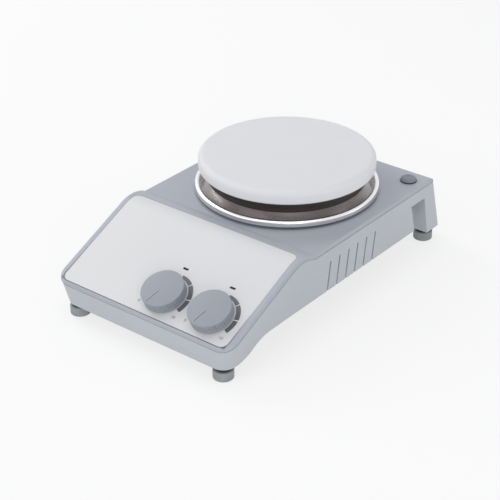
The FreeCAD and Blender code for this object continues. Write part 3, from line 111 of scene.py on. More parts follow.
class StirrerSizes(bpy.types.PropertyGroup):
    """Lengths of the dressed pieces."""

    plate_radius: length_of("Plate radius", node_size("hotplate", 0) / 2, "Radius of the round white plate")
    plate_round: length_of("Plate edge", 4.5, "Radius of the plate's upper edge")
    plate_under_round: length_of("Plate lower edge", 1.8, "Radius of the plate's lower edge")
    ring_radius: length_of("Ring radius", node_size("drip_ring", 0) / 2, "Outer radius of the rolled rim")
    ring_floor: length_of("Ring floor", 50.0, "Radius where the drip ring's floor starts to rise")
    ring_wall: length_of("Ring sheet", 0.8, "Sheet thickness of the drip ring")
    ring_lip: length_of("Ring lip", 4.6, "Width of the ring's rolled lip")
    pan_radius: length_of("Pan radius", node_size("heater_cover", 0) / 2, "Radius of the pan's upper step")
    knob_radius: length_of("Dial radius", 15.7, "Radius of a dial over its ribs")
    knob_height: length_of("Dial height", 7.6, "Height of a dial above its gap to the panel")
    knob_gap: length_of("Dial gap", 0.8, "Gap between a dial and the panel")
    rib_depth: length_of("Rib depth", 0.6, "Depth of the grooves round a dial")
    pointer_width: length_of("Pointer width", 0.55, "Width of a dial's dark pointer line")
    pointer_start: length_of("Pointer start", 3.0, "Distance of a pointer's inner end from the dial's axis")
    scale_inner: length_of("Scale inner radius", 16.2, "Inner radius of the printed scale round a dial")
    scale_outer: length_of("Scale outer radius", 19.8, "Outer radius of the printed scale at its full end")
    figure_height: length_of("Figure height", 2.5, "Height of the printed figures")
    foot_radius: length_of("Foot radius", 7.4, "Radius of a rubber foot")
    cap_radius: length_of("Cap radius", node_size("socket_cap", 0) / 2, "Radius of the rod socket's cap")


class StirrerColours(bpy.types.PropertyGroup):
    """Main colours of the visible finishes."""

    enamel: colour_of("Casing enamel", "#BCC0C7", "Satin enamel of the lower casing")
    # Darker than the casing enamel: painted shade for the top faces, which get less light
    deck_shaded: colour_of("Deck enamel", "#B0B4BE", "Satin enamel of the top casing")
    overlay: colour_of("Panel film", "#DEDEE0", "Printed film on the sloped panel")
    plate: colour_of("Plate coating", "#E4E5E8", "Ceramic coating of the plate")
    dial: colour_of("Dial plastic", "#989EA7", "Moulded plastic of the dials")
    ink: colour_of("Scale ink", "#5C5F6A", "Ink of the scales and figures")
    foot: colour_of("Foot rubber", "#989E9F", "Moulded rubber of the feet")
    cap: colour_of("Cap rubber", "#868A94", "Moulded rubber of the rod socket's cap")
    pan: colour_of("Pan steel", "#332D29", "Heat-tinted steel of the heater pan's upper band")
    backdrop: colour_of("Studio floor", "#FAFAFA", "Floor and backdrop")


# Surfaces worked out with numpy


def grid_faces(rows, columns, close_rows, close_columns):
    """Quads between neighbouring points of a rows by columns grid, joined end to start where closed."""
    row = np.arange(rows if close_rows else rows - 1)
    column = np.arange(columns if close_columns else columns - 1)
    first, second = np.meshgrid(row, column, indexing="ij")
    next_row = (first + 1) % rows
    next_column = (second + 1) % columns
    corners = (
        first * columns + second, first * columns + next_column,
        next_row * columns + next_column, next_row * columns + second,
    )
    return np.stack(corners, -1).reshape(-1, 4)


def build_mesh(name, points, quads, fans=(), smooth=True):
    """A mesh object from points, quads and fans; a fan closes a ring of points onto one pole point."""
    triangles = []
    for pole, ring, turned in fans:
        after = np.roll(ring, -1)
        order = (ring, after) if turned else (after, ring)
        triangles.append(np.stack((order[0], order[1], np.full(len(ring), pole)), -1))
    faces = [tuple(face) for face in quads.tolist()]
    for group in triangles:
        faces += [tuple(face) for face in group.tolist()]
    mesh = bpy.data.meshes.new(name)
    mesh.from_pydata(points.reshape(-1, 3), [], faces)
    mesh.polygons.foreach_set("use_smooth", np.full(len(mesh.polygons), smooth))
    mesh.update()
    piece = bpy.data.objects.new(name, mesh)
    bpy.context.scene.collection.objects.link(piece)
    return piece


def sharpen(piece, degrees):
    """Keep edges steeper than an angle crisp and shade the rest smooth."""
    piece.data.set_sharp_from_angle(angle=math.radians(degrees))
    return piece


def rounded_path(corners, steps=6):
    """Points along a polyline of (r, z, radius) corners.

    Each corner with a radius is an arc that touches both its sides: its centre lies on the corner's
    bisector, radius / sin(half angle) away, and the points sweep between the two feet on the sides.
    """
    path = []
    for index, (r, z, radius) in enumerate(corners):
        here = np.array((r, z), float)
        if radius <= 0 or index in (0, len(corners) - 1):
            path.append(here[None])
            continue
        before = np.array(corners[index - 1][:2], float) - here
        after = np.array(corners[index + 1][:2], float) - here
        before /= np.linalg.norm(before)
        after /= np.linalg.norm(after)
        half = math.acos(np.clip(before @ after, -1, 1)) / 2
        if not 0.01 < half < math.pi / 2 - 0.001:
            raise ValueError("The corner at %.2f, %.2f can't be rounded with these sizes" % (r, z))
        bisector = (before + after) / np.linalg.norm(before + after)
        centre = here + bisector * radius / math.sin(half)
        start = here + before * radius / math.tan(half) - centre
        end = here + after * radius / math.tan(half) - centre
        share = np.linspace(0, 1, steps + 1)[:, None]
        sweep = math.pi - 2 * half
        arc = (np.sin((1 - share) * sweep) * start + np.sin(share * sweep) * end) / math.sin(sweep)
        path.append(centre + arc)
    return np.concatenate(path)


def turned(name, path, middle, count=192, ripple=None):
    """A closed surface turned about an upright axis from (r, z) points in millimetres.

    Point (i, j) is (r_i cos a_j, r_i sin a_j, z_i) with a_j = 2 pi j / count; ripple, of i and a,
    is added to the radius. Path ends on the axis become poles, and other paths close on themselves.
    """
    path = np.asarray(path, float)
    start_pole, end_pole = path[0, 0] < 1e-6, path[-1, 0] < 1e-6
    body = path[(1 if start_pole else 0):(-1 if end_pole else None)]
    angle = np.arange(count) * 2 * math.pi / count
    radius = body[:, :1] + (0 if ripple is None else ripple(body, angle[None]))
    grid = np.stack((radius * np.cos(angle), radius * np.sin(angle), np.repeat(body[:, 1:], count, 1)), -1)
    points = grid.reshape(-1, 3)
    closed = not (start_pole or end_pole)
    quads = grid_faces(len(body), count, closed, True)
    fans = []
    if start_pole:
        fans.append((len(points), np.arange(count), False))
        points = np.vstack((points, (0, 0, path[0, 1])))
    if end_pole:
        fans.append((len(points), np.arange(count) + (len(body) - 1) * count, True))
        points = np.vstack((points, (0, 0, path[-1, 1])))
    points = points * MM
    points[:, 0] += middle[0]
    points[:, 1] += middle[1]
    return build_mesh(name, points, quads, fans)


def mesh_points(mesh):
    """A mesh's points as rows of x, y and z."""
    spots = np.empty(len(mesh.vertices) * 3)
    mesh.vertices.foreach_get("co", spots)
    return spots.reshape(-1, 3)


def join_pieces(name, pieces, smooth=True):
    """One object that holds the meshes of several, all made of quads alone."""
    points, quads, start = [], [], 0
    for piece in pieces:
        mesh = piece.data
        corners = np.empty(len(mesh.loops), np.int32)
        mesh.loops.foreach_get("vertex_index", corners)
        points.append(mesh_points(mesh))
        quads.append(corners.reshape(-1, 4) + start)
        start += len(mesh.vertices)
        bpy.data.objects.remove(piece)
        bpy.data.meshes.remove(mesh)
    return build_mesh(name, np.concatenate(points), np.concatenate(quads), smooth=smooth)


# The sloped panel's own axes: x across, up the slope, out along its normal


PANEL_SLOPE = math.radians(24.3)
PANEL_EDGE = np.array((0.0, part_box("top_casing")[0][1] / MM, 29.3))
DIAL_SPOTS = {"heat": (8.5, 21.2), "stir": (50.5, 21.2)}
FILM_TOP = -0.2


def on_panel(points):
    """Panel points (x, up, out) in millimetres, as frame points in metres."""
    x, up, out = np.moveaxis(np.asarray(points, float), -1, 0)
    y = up * math.cos(PANEL_SLOPE) - out * math.sin(PANEL_SLOPE)
    z = up * math.sin(PANEL_SLOPE) + out * math.cos(PANEL_SLOPE)
    return (np.stack((x, y, z), -1) + PANEL_EDGE) * MM


def carry_to_panel(mesh, spot, out=0.0, unit=1.0):
    """Move a mesh drawn about its own upright axis to (x, up) on the panel and out from it, in millimetres.

    The mesh's own coordinates are in millimetres, or in metres where unit is MM.
    """
    mesh.vertices.foreach_set("co", on_panel(mesh_points(mesh) / unit + (*spot, out)).ravel())
    mesh.update()


# Finishes


def new_material(name):
    """An empty material with its node tree, its shader and the piece's own coordinates in metres."""
    material = bpy.data.materials.new(name)
    material.use_nodes = True
    tree = material.node_tree
    place = add_node(tree, "ShaderNodeTexCoord").outputs["Object"]
    return SimpleNamespace(material=material, tree=tree, shader=tree.nodes["Principled BSDF"], place=place)


def add_node(tree, kind, settings=None, links=None, stops=()):
    """One node with its settings and links.

    A setting is a property of the node or the constant of an input, a link gives the output that feeds an
    input, and stops are the (position, colour) pairs of a node that holds a colour ramp.
    """
    node = tree.nodes.new(kind)
    for key, setting in (settings or {}).items():
        if isinstance(key, str) and hasattr(node, key):
            setattr(node, key, setting)
        else:
            node.inputs[key].default_value = setting
    for key, source in (links or {}).items():
        tree.links.new(source, node.inputs[key])
    for index, (position, colour) in enumerate(stops):
        points = node.color_ramp.elements
        point = points[index] if index < len(points) else points.new(position)
        point.position = position
        point.color = colour
    return node


def set_shader(finish, **values):
    """Constant values, or the outputs that feed them, on the shader's inputs."""
    for name, setting in values.items():
        entry = finish.shader.inputs[name.replace("_", " ")]
        if isinstance(setting, bpy.types.NodeSocket):
            finish.tree.links.new(setting, entry)
        else:
            entry.default_value = setting


def cells(size_mm):
    """The scale at which a pattern's cells are about size_mm wide."""
    return 1.0 / (size_mm * MM)


def shade(colour, factor):
    """A colour made lighter or darker by a factor."""
    return tuple(min(1.0, level * factor) for level in colour[:3]) + (1.0,)


def wandering_colour(finish, colour, spread, patch_mm):
    """Base colour that wanders by a small spread over patches of patch_mm, as a real batch does."""
    noise = {"Scale": cells(patch_mm), "Detail": 3.0}
    patches = add_node(finish.tree, "ShaderNodeTexNoise", noise, {"Vector": finish.place}).outputs["Fac"]
    stops = ((0.3, shade(colour, 1 - spread)), (0.7, shade(colour, 1 + spread)))
    mixed = add_node(finish.tree, "ShaderNodeValToRGB", links={"Fac": patches}, stops=stops)
    set_shader(finish, Base_Color=mixed.outputs["Color"])


def uneven_gloss(finish, low, high, patch_mm):
    """Roughness that runs between low and high over patches of patch_mm."""
    noise = {"Scale": cells(patch_mm), "Detail": 4.0}
    patches = add_node(finish.tree, "ShaderNodeTexNoise", noise, {"Vector": finish.place}).outputs["Fac"]
    levels = {"To Min": low, "To Max": high}
    gloss = add_node(finish.tree, "ShaderNodeMapRange", levels, {"Value": patches})
    set_shader(finish, Roughness=gloss.outputs["Result"])


def worn_relief(finish, height, depth_mm, rounding_mm):
    """Relief of depth_mm from a height, over edges whose shading is eased by rounding_mm."""
    eased = add_node(finish.tree, "ShaderNodeBevel", {"samples": 6, "Radius": rounding_mm * MM})
    links = {"Height": height, "Normal": eased.outputs["Normal"]}
    bump = {"Distance": depth_mm * MM, "Strength": 1.0}
    relief = add_node(finish.tree, "ShaderNodeBump", bump, links)
    set_shader(finish, Normal=relief.outputs["Normal"])


def fine_grain(finish, grain_mm, depth_mm, rounding_mm=0.0, detail=2.0):
    """Grainy skin with grains about grain_mm wide and depth_mm deep."""
    noise = {"Scale": cells(grain_mm), "Detail": detail}
    grains = add_node(finish.tree, "ShaderNodeTexNoise", noise, {"Vector": finish.place}).outputs["Fac"]
    worn_relief(finish, grains, depth_mm, max(rounding_mm, 0.01))


def satin_enamel(name, colour):
    """Stoved enamel on an aluminium casting.

    To the eye: an even blue-grey with a faint orange-peel skin that softens every reflection, and edges
    that the paint has rounded so that they catch a thin light.
    """
    finish = new_material(name)
    wandering_colour(finish, colour, 0.012, 38.0)
    uneven_gloss(finish, 0.4, 0.48, 14.0)
    set_shader(finish, IOR=1.45, Coat_Weight=0.08, Coat_Roughness=0.25)
    # Orange peel is about 1.5 mm across and a few microns deep.
    fine_grain(finish, 1.5, 0.012, 0.5, 1.0)
    return finish.material


def printed_film(name, colour, low=0.36, high=0.44):
    """Back-printed polyester film with a velvet skin.

    To the eye: a clean even tone with a soft sheen and none of the enamel's ripple.
    """
    finish = new_material(name)
    wandering_colour(finish, colour, 0.006, 45.0)
    uneven_gloss(finish, low, high, 20.0)
    set_shader(finish, IOR=1.58)
    # The velvet grain is near 0.1 mm and is drawn at 0.35 mm so that it shows.
    fine_grain(finish, 0.35, 0.004, 0.0, 1.0)
    return finish.material


def ceramic_coating(colour):
    """Ceramic coat, sprayed on aluminium and fired.

    To the eye: a cool white with a satin sheen over a very slight pebbling, and a soft light along the edge.
    """
    finish = new_material("white_fired_ceramic_coating")
    wandering_colour(finish, colour, 0.008, 30.0)
    uneven_gloss(finish, 0.5, 0.6, 9.0)
    set_shader(finish, IOR=1.42, Coat_Weight=0.06, Coat_Roughness=0.3)
    fine_grain(finish, 1.2, 0.0025)
    return finish.material


def polished_stainless():
    """Stainless sheet, deep drawn and then polished on a mop.

    To the eye: a bright, slightly blurred mirror with faint turning lines that stretch each highlight.
    """
    finish = new_material("polished_drawn_stainless")
    middle = node_middle("drip_ring")
    centring = {"Location": (-middle[0], -middle[1], 0.0)}
    centred = add_node(finish.tree, "ShaderNodeMapping", centring, {"Vector": finish.place}).outputs["Vector"]
    # Mop lines are near 0.05 mm apart and are drawn about 1 mm apart so that they show.
    lines = {"wave_type": "RINGS", "rings_direction": "Z", "Scale": 160.0, "Distortion": 1.2, "Detail": 3.0}
    rings = add_node(finish.tree, "ShaderNodeTexWave", lines, {"Vector": centred}).outputs["Fac"]
    set_shader(finish, Metallic=1.0, Base_Color=linear("#E8E6E7"))
    uneven_gloss(finish, 0.2, 0.3, 6.0)
    worn_relief(finish, rings, 0.001, 0.05)
    return finish.material


def tinted_pan_steel(colour):
    """Mild steel pan, spun and browned by its own heat.

    To the eye: a dark olive-brown upper band over a plum-brown lower one and a low metallic sheen, with
    a darker line at the step between them that is painted shade.
    """
    finish = new_material("heat_tinted_spun_steel")
    height = add_node(finish.tree, "ShaderNodeSeparateXYZ", links={"Vector": finish.place}).outputs["Z"]
    low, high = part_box("heater_cover")
    span = {"From Min": low[2], "From Max": high[2]}
    level = add_node(finish.tree, "ShaderNodeMapRange", span, {"Value": height}).outputs["Result"]
    noise = {"Scale": cells(7.0), "Detail": 4.0}
    streak = add_node(finish.tree, "ShaderNodeTexNoise", noise, {"Vector": finish.place}).outputs["Fac"]
    shifting = {"operation": "MULTIPLY_ADD", 1: 0.12}
    shifted = add_node(finish.tree, "ShaderNodeMath", shifting, {0: streak, 2: level}).outputs["Value"]
    # The near-black stop at 0.58 is painted shade at the step; the other stops are heat tint.
    stops = (
        (0.3, linear("#3B322F")), (0.5, linear("#35292A")), (0.58, linear("#150D0B")),
        (0.64, linear("#2E211D")), (0.75, colour), (1.0, shade(colour, 0.8)),
    )
    tint = add_node(finish.tree, "ShaderNodeValToRGB", links={"Fac": shifted}, stops=stops)
    set_shader(finish, Base_Color=tint.outputs["Color"])
    set_shader(finish, Metallic=0.35)
    uneven_gloss(finish, 0.32, 0.5, 5.0)
    fine_grain(finish, 0.8, 0.004)
    return finish.material


def moulded_plastic(name, colour, low, high, texture_mm, depth_mm, spread=0.012, rounding_mm=0.0):
    """Plastic moulded in a spark-eroded tool.

    To the eye: a matt, slightly sandy skin whose gloss changes a little over the face.
    """
    finish = new_material(name)
    wandering_colour(finish, colour, spread, 12.0)
    uneven_gloss(finish, low, high, 6.0)
    set_shader(finish, IOR=1.53)
    fine_grain(finish, texture_mm, depth_mm, rounding_mm)
    return finish.material


def moulded_rubber(name, colour, texture_mm=0.6):
    """Compression-moulded rubber.

    To the eye: dull and soft, with a fine bloom that lightens it in patches.
    """
    finish = new_material(name)
    wandering_colour(finish, colour, 0.08, 5.0)
    uneven_gloss(finish, 0.62, 0.8, 4.0)
    set_shader(finish, IOR=1.52)
    fine_grain(finish, texture_mm, 0.01)
    return finish.material


def machined_metal(name, code, low, high, line_mm):
    """Bare or plated metal, turned, drawn or rolled.

    To the eye: a metallic tone with fine lines about line_mm apart that run round or along the part.
    """
    finish = new_material(name)
    wandering_colour(finish, linear(code), 0.03, 8.0)
    uneven_gloss(finish, low, high, 3.0)
    set_shader(finish, Metallic=1.0)
    # The lines are drawn out along the part's height.
    drawn = {"Scale": (1.0, 1.0, 0.08)}
    mapped = add_node(finish.tree, "ShaderNodeMapping", drawn, {"Vector": finish.place})
    finish.place = mapped.outputs["Vector"]
    fine_grain(finish, line_mm, 0.004, 0.2, 3.0)
    return finish.material


def level_ridges(tree, height, spacing_mm, low, high):
    """Ridges at an even spacing along one coordinate; returns their height and their colour."""
    turning = {"operation": "MULTIPLY", 1: 2.0 * math.pi / (spacing_mm * MM)}
    turns = add_node(tree, "ShaderNodeMath", turning, {0: height}).outputs["Value"]
    wave = add_node(tree, "ShaderNodeMath", {"operation": "SINE"}, {0: turns}).outputs["Value"]
    stops = ((0.0, linear(low)), (0.6, linear(high)))
    tint = add_node(tree, "ShaderNodeValToRGB", links={"Fac": wave}, stops=stops)
    return wave, tint.outputs["Color"]


def layered_core():
    """Electrical steel sheets, stamped, stacked and varnished.

    To the eye: dark grey with fine level lines, one for each sheet; half a millimetre is drawn as one.
    """
    finish = new_material("varnished_steel_laminations")
    height = add_node(finish.tree, "ShaderNodeSeparateXYZ", links={"Vector": finish.place}).outputs["Z"]
    ridges, tint = level_ridges(finish.tree, height, 1.0, "#3C3B3C", "#6C6A69")
    set_shader(finish, Base_Color=tint)
    set_shader(finish, Metallic=0.7)
    uneven_gloss(finish, 0.38, 0.55, 3.0)
    worn_relief(finish, ridges, 0.02, 0.1)
    return finish.material


def wound_wire():
    """Enamelled copper wire, wound in level turns.

    To the eye: glossy red-brown ridges 0.4 mm apart along the bobbin, darker in the grooves between turns,
    which is painted shade.
    """
    finish = new_material("enamelled_copper_wire")
    across = add_node(finish.tree, "ShaderNodeSeparateXYZ", links={"Vector": finish.place}).outputs["X"]
    # The colour darkens in the troughs between turns: painted shade over the copper's red-brown.
    ridges, tint = level_ridges(finish.tree, across, 0.4, "#5E2B12", "#B5622C")
    set_shader(finish, Base_Color=tint)
    set_shader(finish, Metallic=0.5, Coat_Weight=0.6)
    uneven_gloss(finish, 0.2, 0.34, 2.0)
    worn_relief(finish, ridges, 0.08, 0.1)
    return finish.material


def board_laminate():
    """Glass-epoxy laminate, pressed and coated with green resist.

    To the eye: deep green with lighter lines where tracks and weave show through.
    """
    finish = new_material("green_resist_glass_laminate")
    tracks = {"feature": "DISTANCE_TO_EDGE", "Scale": cells(3.8)}
    edges = add_node(finish.tree, "ShaderNodeTexVoronoi", tracks, {"Vector": finish.place}).outputs["Distance"]
    stops = ((0.04, linear("#2F7A46")), (0.12, linear("#185030")))
    tint = add_node(finish.tree, "ShaderNodeValToRGB", links={"Fac": edges}, stops=stops)
    set_shader(finish, Base_Color=tint.outputs["Color"])
    uneven_gloss(finish, 0.25, 0.35, 5.0)
    set_shader(finish, IOR=1.55)
    worn_relief(finish, edges, 0.02, 0.1)
    return finish.material


def fired_block(name, code, texture_mm):
    """Ceramic or mineral fibre, dry pressed and fired.

    To the eye: chalky and quite without gloss, with a granular skin.
    """
    finish = new_material(name)
    wandering_colour(finish, linear(code), 0.05, 4.0)
    uneven_gloss(finish, 0.7, 0.88, 3.0)
    fine_grain(finish, texture_mm, 0.03, 0.0, 3.0)
    return finish.material


def clear_glass():
    """Drawn glass tube of a fuse.

    To the eye: clear with a faint green cast and a bright line along the tube.
    """
    finish = new_material("drawn_fuse_glass")
    uneven_gloss(finish, 0.02, 0.07, 4.0)
    set_shader(finish, Base_Color=linear("#E6F0EC"), IOR=1.52, Transmission_Weight=0.85)
    return finish.material


def cover(material, *nodes):
    """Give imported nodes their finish."""
    for node in nodes:
        mesh = NODES[node].data
        mesh.materials.clear()
        mesh.materials.append(material)


def settings_of(context):
    """The scene's stirrer sizes, as plain numbers in millimetres, and its stirrer colours."""
    return in_millimetres(context.scene.stirrer_sizes), context.scene.stirrer_colours


def finish_piece(piece, material, body, replaced=()):
    """Finish a new piece, hang it on its body and hide the nodes it stands for."""
    piece.data.materials.append(material)
    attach(piece, body)
    if replaced:
        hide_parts(*replaced)
    return piece


# Pieces


class STIRRER_OT_casings(bpy.types.Operator):
    """Enamel on both casings and zinc on the base plate under them"""

    bl_idname = "stirrer.casings"
    bl_label = "Casings"

    def execute(self, context):
        colours = context.scene.stirrer_colours
        cover(satin_enamel("satin_stoved_enamel", colours.enamel), "lower_casing")
        # The top casing's darker enamel is painted shade on the upward faces.
        cover(satin_enamel("satin_stoved_deck_enamel_painted_shade", colours.deck_shaded), "top_casing")
        cover(machined_metal("zinc_plated_sheet_steel", "#A9ABAD", 0.34, 0.5, 0.5), "base_plate")
        return {"FINISHED"}


class STIRRER_OT_film(bpy.types.Operator):
    """Printed film in its seat on the panel"""

    bl_idname = "stirrer.film"
    bl_label = "Panel film"

    def execute(self, context):
        colours = context.scene.stirrer_colours
        cover(printed_film("velvet_printed_polyester_film", colours.overlay), "panel_overlay")
        smoked = moulded_plastic("smoked_acrylic_window", linear("#1B1C20"), 0.08, 0.16, 3.0, 0.001)
        cover(smoked, "indicator_windows")
        lamp = moulded_plastic("tinted_epoxy_lamp", linear("#3F7A4A"), 0.1, 0.2, 2.0, 0.002)
        cover(lamp, "indicator_lamps")
        # A thin dark strip along the film's front edge is painted shade of the film's seat.
        shadow_mark = printed_film("film_edge_painted_shadow", linear("#6A6D73"), 0.4, 0.5)
        finish_piece(film_edge_shadow(), shadow_mark, "housing")
        return {"FINISHED"}


# Clock angles of each printed sector's ends, and its share of the scale's full width at both ends
SCALE_SECTORS = (
    (-8.0, -3.5, 0.32, 0.32), (3.0, 37.0, 0.72, 0.92), (39.5, 78.0, 0.92, 1.0), (81.0, 113.5, 1.0, 1.0),
)
# Each dial's printed figures with their places from its axis, across and up the slope
FIGURES = (("0", (-15.6, -11.5)), ("10", (16.7, -13.0)))
# Width of the painted shade line along the film's front edge
EDGE_SHADOW_WIDTH = 0.75


def flat_strip(name, inner, outer, low, high, shape):
    """A thin strip between two lines of points, closed all round.

    Point (i, j) of its grid is corner j of a flat rectangle, carried along the lines from i = 0 to the end.
    """
    count = len(inner)
    rows = [
        np.column_stack((line, np.full(count, out)))
        for line, out in ((inner, high), (inner, low), (outer, low), (outer, high))
    ]
    grid = np.stack(rows, 1)
    quads = grid_faces(count, 4, False, True)
    last = 4 * count - 1
    ends = np.array([(3, 2, 1, 0), (last - 3, last - 2, last - 1, last)])
    return build_mesh(name, shape(grid), np.vstack((quads, ends)), smooth=False)


def film_edge_shadow():
    """Dark line along the film's front edge, round both corners and tapering away up the sides: painted shade
    of the film's seat.

    Its inner line is the film's outline, a straight edge between two quarter circles, and its outer line
    lies further out along the outline's normal by a width that shrinks towards both ends.
    """
    low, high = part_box("panel_overlay")
    half = (high[0] - low[0]) / 2 / MM
    up = (low[1] / MM - PANEL_EDGE[1]) / math.cos(PANEL_SLOPE)
    corner, straight, rise, reach, taper = 5.5, 60, 12, 30.0, 24.0
    turn = np.linspace(math.pi, 1.5 * math.pi, 16)
    left = np.column_stack((-half + corner + corner * np.cos(turn), up + corner + corner * np.sin(turn)))
    side = np.column_stack((np.full(rise, -half), np.linspace(up + reach, up + corner + 0.5, rise)))
    across = np.linspace(-half + corner + 0.5, half - corner - 0.5, straight)
    front = np.column_stack((across, np.full(straight, up)))
    mirror = np.array((-1.0, 1.0))
    line = np.vstack((side, left, front, left[::-1] * mirror, side[::-1] * mirror))
    along = np.gradient(line, axis=0)
    along /= np.linalg.norm(along, axis=1)[:, None]
    normal = np.column_stack((along[:, 1], -along[:, 0]))
    share = np.clip((up + reach - line[:, 1]) / taper, 0.12, 1.0)[:, None]
    inner = line + 0.02 * normal
    return flat_strip("film_edge_shadow_line", inner + EDGE_SHADOW_WIDTH * share * normal, inner, 0.002, 0.022, on_panel)


def scale_sector(name, spot, sector, sizes):
    """A thin printed sector round a dial.

    It is a flat strip, 0.03 mm thick, carried along the clock angle. Its inner radius stays, and its width
    grows in a straight line between the sector's two shares of the scale's full width.
    """
    start, end, first_share, last_share = sector
    angle = np.radians(90 - np.linspace(start, end, 40))
    share = np.linspace(first_share, last_share, 40)
    width = sizes.scale_outer - sizes.scale_inner
    outer = sizes.scale_outer - 0.25 * width * (1 - share)
    inner = outer - width * share
    lines = [
        np.column_stack((spot[0] + radius * np.cos(angle), spot[1] + radius * np.sin(angle)))
        for radius in (inner, outer)
    ]
    return flat_strip(name, *lines, FILM_TOP + 0.005, FILM_TOP + 0.035, on_panel)


class STIRRER_OT_print(bpy.types.Operator):
    """Growing scale and plain figures round each dial"""

    bl_idname = "stirrer.print"
    bl_label = "Printed scales"

    def execute(self, context):
        sizes, colours = settings_of(context)
        if sizes.scale_outer <= sizes.scale_inner:
            raise ValueError("The scale's outer radius must be larger than its inner radius")
        ink = printed_film("screen_printed_ink", colours.ink, 0.4, 0.5)
        for dial, spot in DIAL_SPOTS.items():
            sectors = [scale_sector(dial + "_sector", spot, sector, sizes) for sector in SCALE_SECTORS]
            scale = join_pieces(dial + "_scale", sectors, smooth=False)
            finish_piece(scale, ink, "housing")
            for figure, offset in FIGURES:
                printed = self.figure(dial, figure, spot, offset, sizes)
                finish_piece(printed, ink, "housing")
        return {"FINISHED"}

    def figure(self, dial, figure, spot, offset, sizes):
        """One printed figure outside the scale, made a mesh before it is placed."""
        curve = bpy.data.curves.new("figure", "FONT")
        curve.body = figure
        curve.size = sizes.figure_height * 1.35
        curve.align_x = "CENTER"
        curve.align_y = "CENTER"
        curve.extrude = 0.012
        holder = bpy.data.objects.new("figure", curve)
        bpy.context.scene.collection.objects.link(holder)
        bpy.context.view_layer.update()
        mesh = bpy.data.meshes.new_from_object(holder)
        bpy.data.objects.remove(holder)
        bpy.data.curves.remove(curve)
        carry_to_panel(mesh, (spot[0] + offset[0], spot[1] + offset[1]), FILM_TOP + 0.02)
        piece = bpy.data.objects.new("%s_figure_%s" % (dial, figure), mesh)
        bpy.context.scene.collection.objects.link(piece)
        return piece


def dial_profile(sizes):
    """(r, out) path of a dial from the pole of its bore, down, round its ribbed side and over its top."""
    gap, height, radius = sizes.knob_gap, sizes.knob_height, sizes.knob_radius
    top = gap + height
    corners = [
        (0, gap + 6.0, 0), (3.05, gap + 6.0, 0), (3.05, gap + 3.2, 0), (5.9, gap + 3.2, 0.1),
        (5.9, gap, 0.2), (radius, gap, 0.35), (radius, top, 0.7), (0, top, 0),
    ]
    path = rounded_path(corners, 5)
    side = np.linspace(gap + 0.7, top - 1.1, 10)
    wall = np.abs(path[:, 0] - radius) < 1e-6
    first = int(np.argmax(wall))
    return np.vstack((path[:first + 1], np.stack((np.full(10, radius), side), -1), path[first + 1:]))


RIB_COUNT = 60
POINTER_CLOCK = 194.0


def pointer_strip(name, spot, sizes, left, right, high):
    """A straight strip on a dial's top, from near its axis to its rim, that stands high above the top.

    Its two long lines run along the pointer's clock angle, at two distances from the pointer's own line.
    """
    angle = math.radians(90 - POINTER_CLOCK)
    along = np.array((math.cos(angle), math.sin(angle)))
    across = np.array((along[1], -along[0]))
    reach = np.linspace(sizes.pointer_start, sizes.knob_radius - 1.3, 24)[:, None]
    top = sizes.knob_gap + sizes.knob_height
    lines = [np.array(spot) + reach * along + offset * across for offset in (right, left)]
    return flat_strip(name, *lines, top - 0.1, top + high, on_panel)


class STIRRER_OT_dials(bpy.types.Operator):
    """Two ribbed dials, each with its pointer line"""

    bl_idname = "stirrer.dials"
    bl_label = "Dials"

    def execute(self, context):
        sizes, colours = settings_of(context)
        plastic = moulded_plastic("spark_grained_abs_dial", colours.dial, 0.38, 0.48, 0.5, 0.006)
        # The pointer's dark strip is painted shade of its channel, and the light strip raised beside it is a
        # painted highlight of the lit edge.
        line = moulded_plastic("pointer_line_painted_shade", linear("#3E424B"), 0.45, 0.55, 0.5, 0.004)
        lip = moulded_plastic("pointer_lip_painted_highlight", linear("#C3C8CE"), 0.3, 0.4, 0.5, 0.004)
        width = sizes.pointer_width
        path = dial_profile(sizes)
        low, high = sizes.knob_gap + 0.6, sizes.knob_gap + sizes.knob_height - 0.7

        def ribs(body, angle):
            """Grooves, deepest where the cosine of RIB_COUNT turns is lowest, only on the side wall."""
            side = np.clip((body[:, 1:] - low) / 0.4, 0, 1) * np.clip((high - body[:, 1:]) / 0.4, 0, 1)
            outer = (body[:, :1] > sizes.knob_radius - 0.8)
            wave = np.clip(0.35 - np.cos(RIB_COUNT * angle), 0, 1.35) / 1.35
            return -sizes.rib_depth * wave * side * outer

        for dial, spot in DIAL_SPOTS.items():
            knob = turned(dial + "_dial", path, (0, 0), 720, ribs)
            carry_to_panel(knob.data, spot, unit=MM)
            finish_piece(sharpen(knob, 50), plastic, dial + "_dial", (dial + "_knob",))
            pointer_shadow_strip = pointer_strip(dial + "_pointer_line", spot, sizes, -width / 2, width / 2, 0.02)
            finish_piece(pointer_shadow_strip, line, dial + "_dial", (dial + "_pointer",))
            pointer_highlight_strip = pointer_strip(dial + "_pointer_lip", spot, sizes, width / 2, width / 2 + 0.4, 0.12)
            finish_piece(pointer_highlight_strip, lip, dial + "_dial")
            cover(machined_metal("turned_steel_shaft", "#B5B5B7", 0.2, 0.35, 0.3), dial + "_shaft")
            can = machined_metal("pressed_aluminium_can", "#C4C5C7", 0.3, 0.45, 0.6)
            cover(can, dial + "_potentiometer")
        cover(machined_metal("turned_brass_nut", "#B89A5A", 0.22, 0.36, 0.3), "potentiometer_nuts")
        return {"FINISHED"}


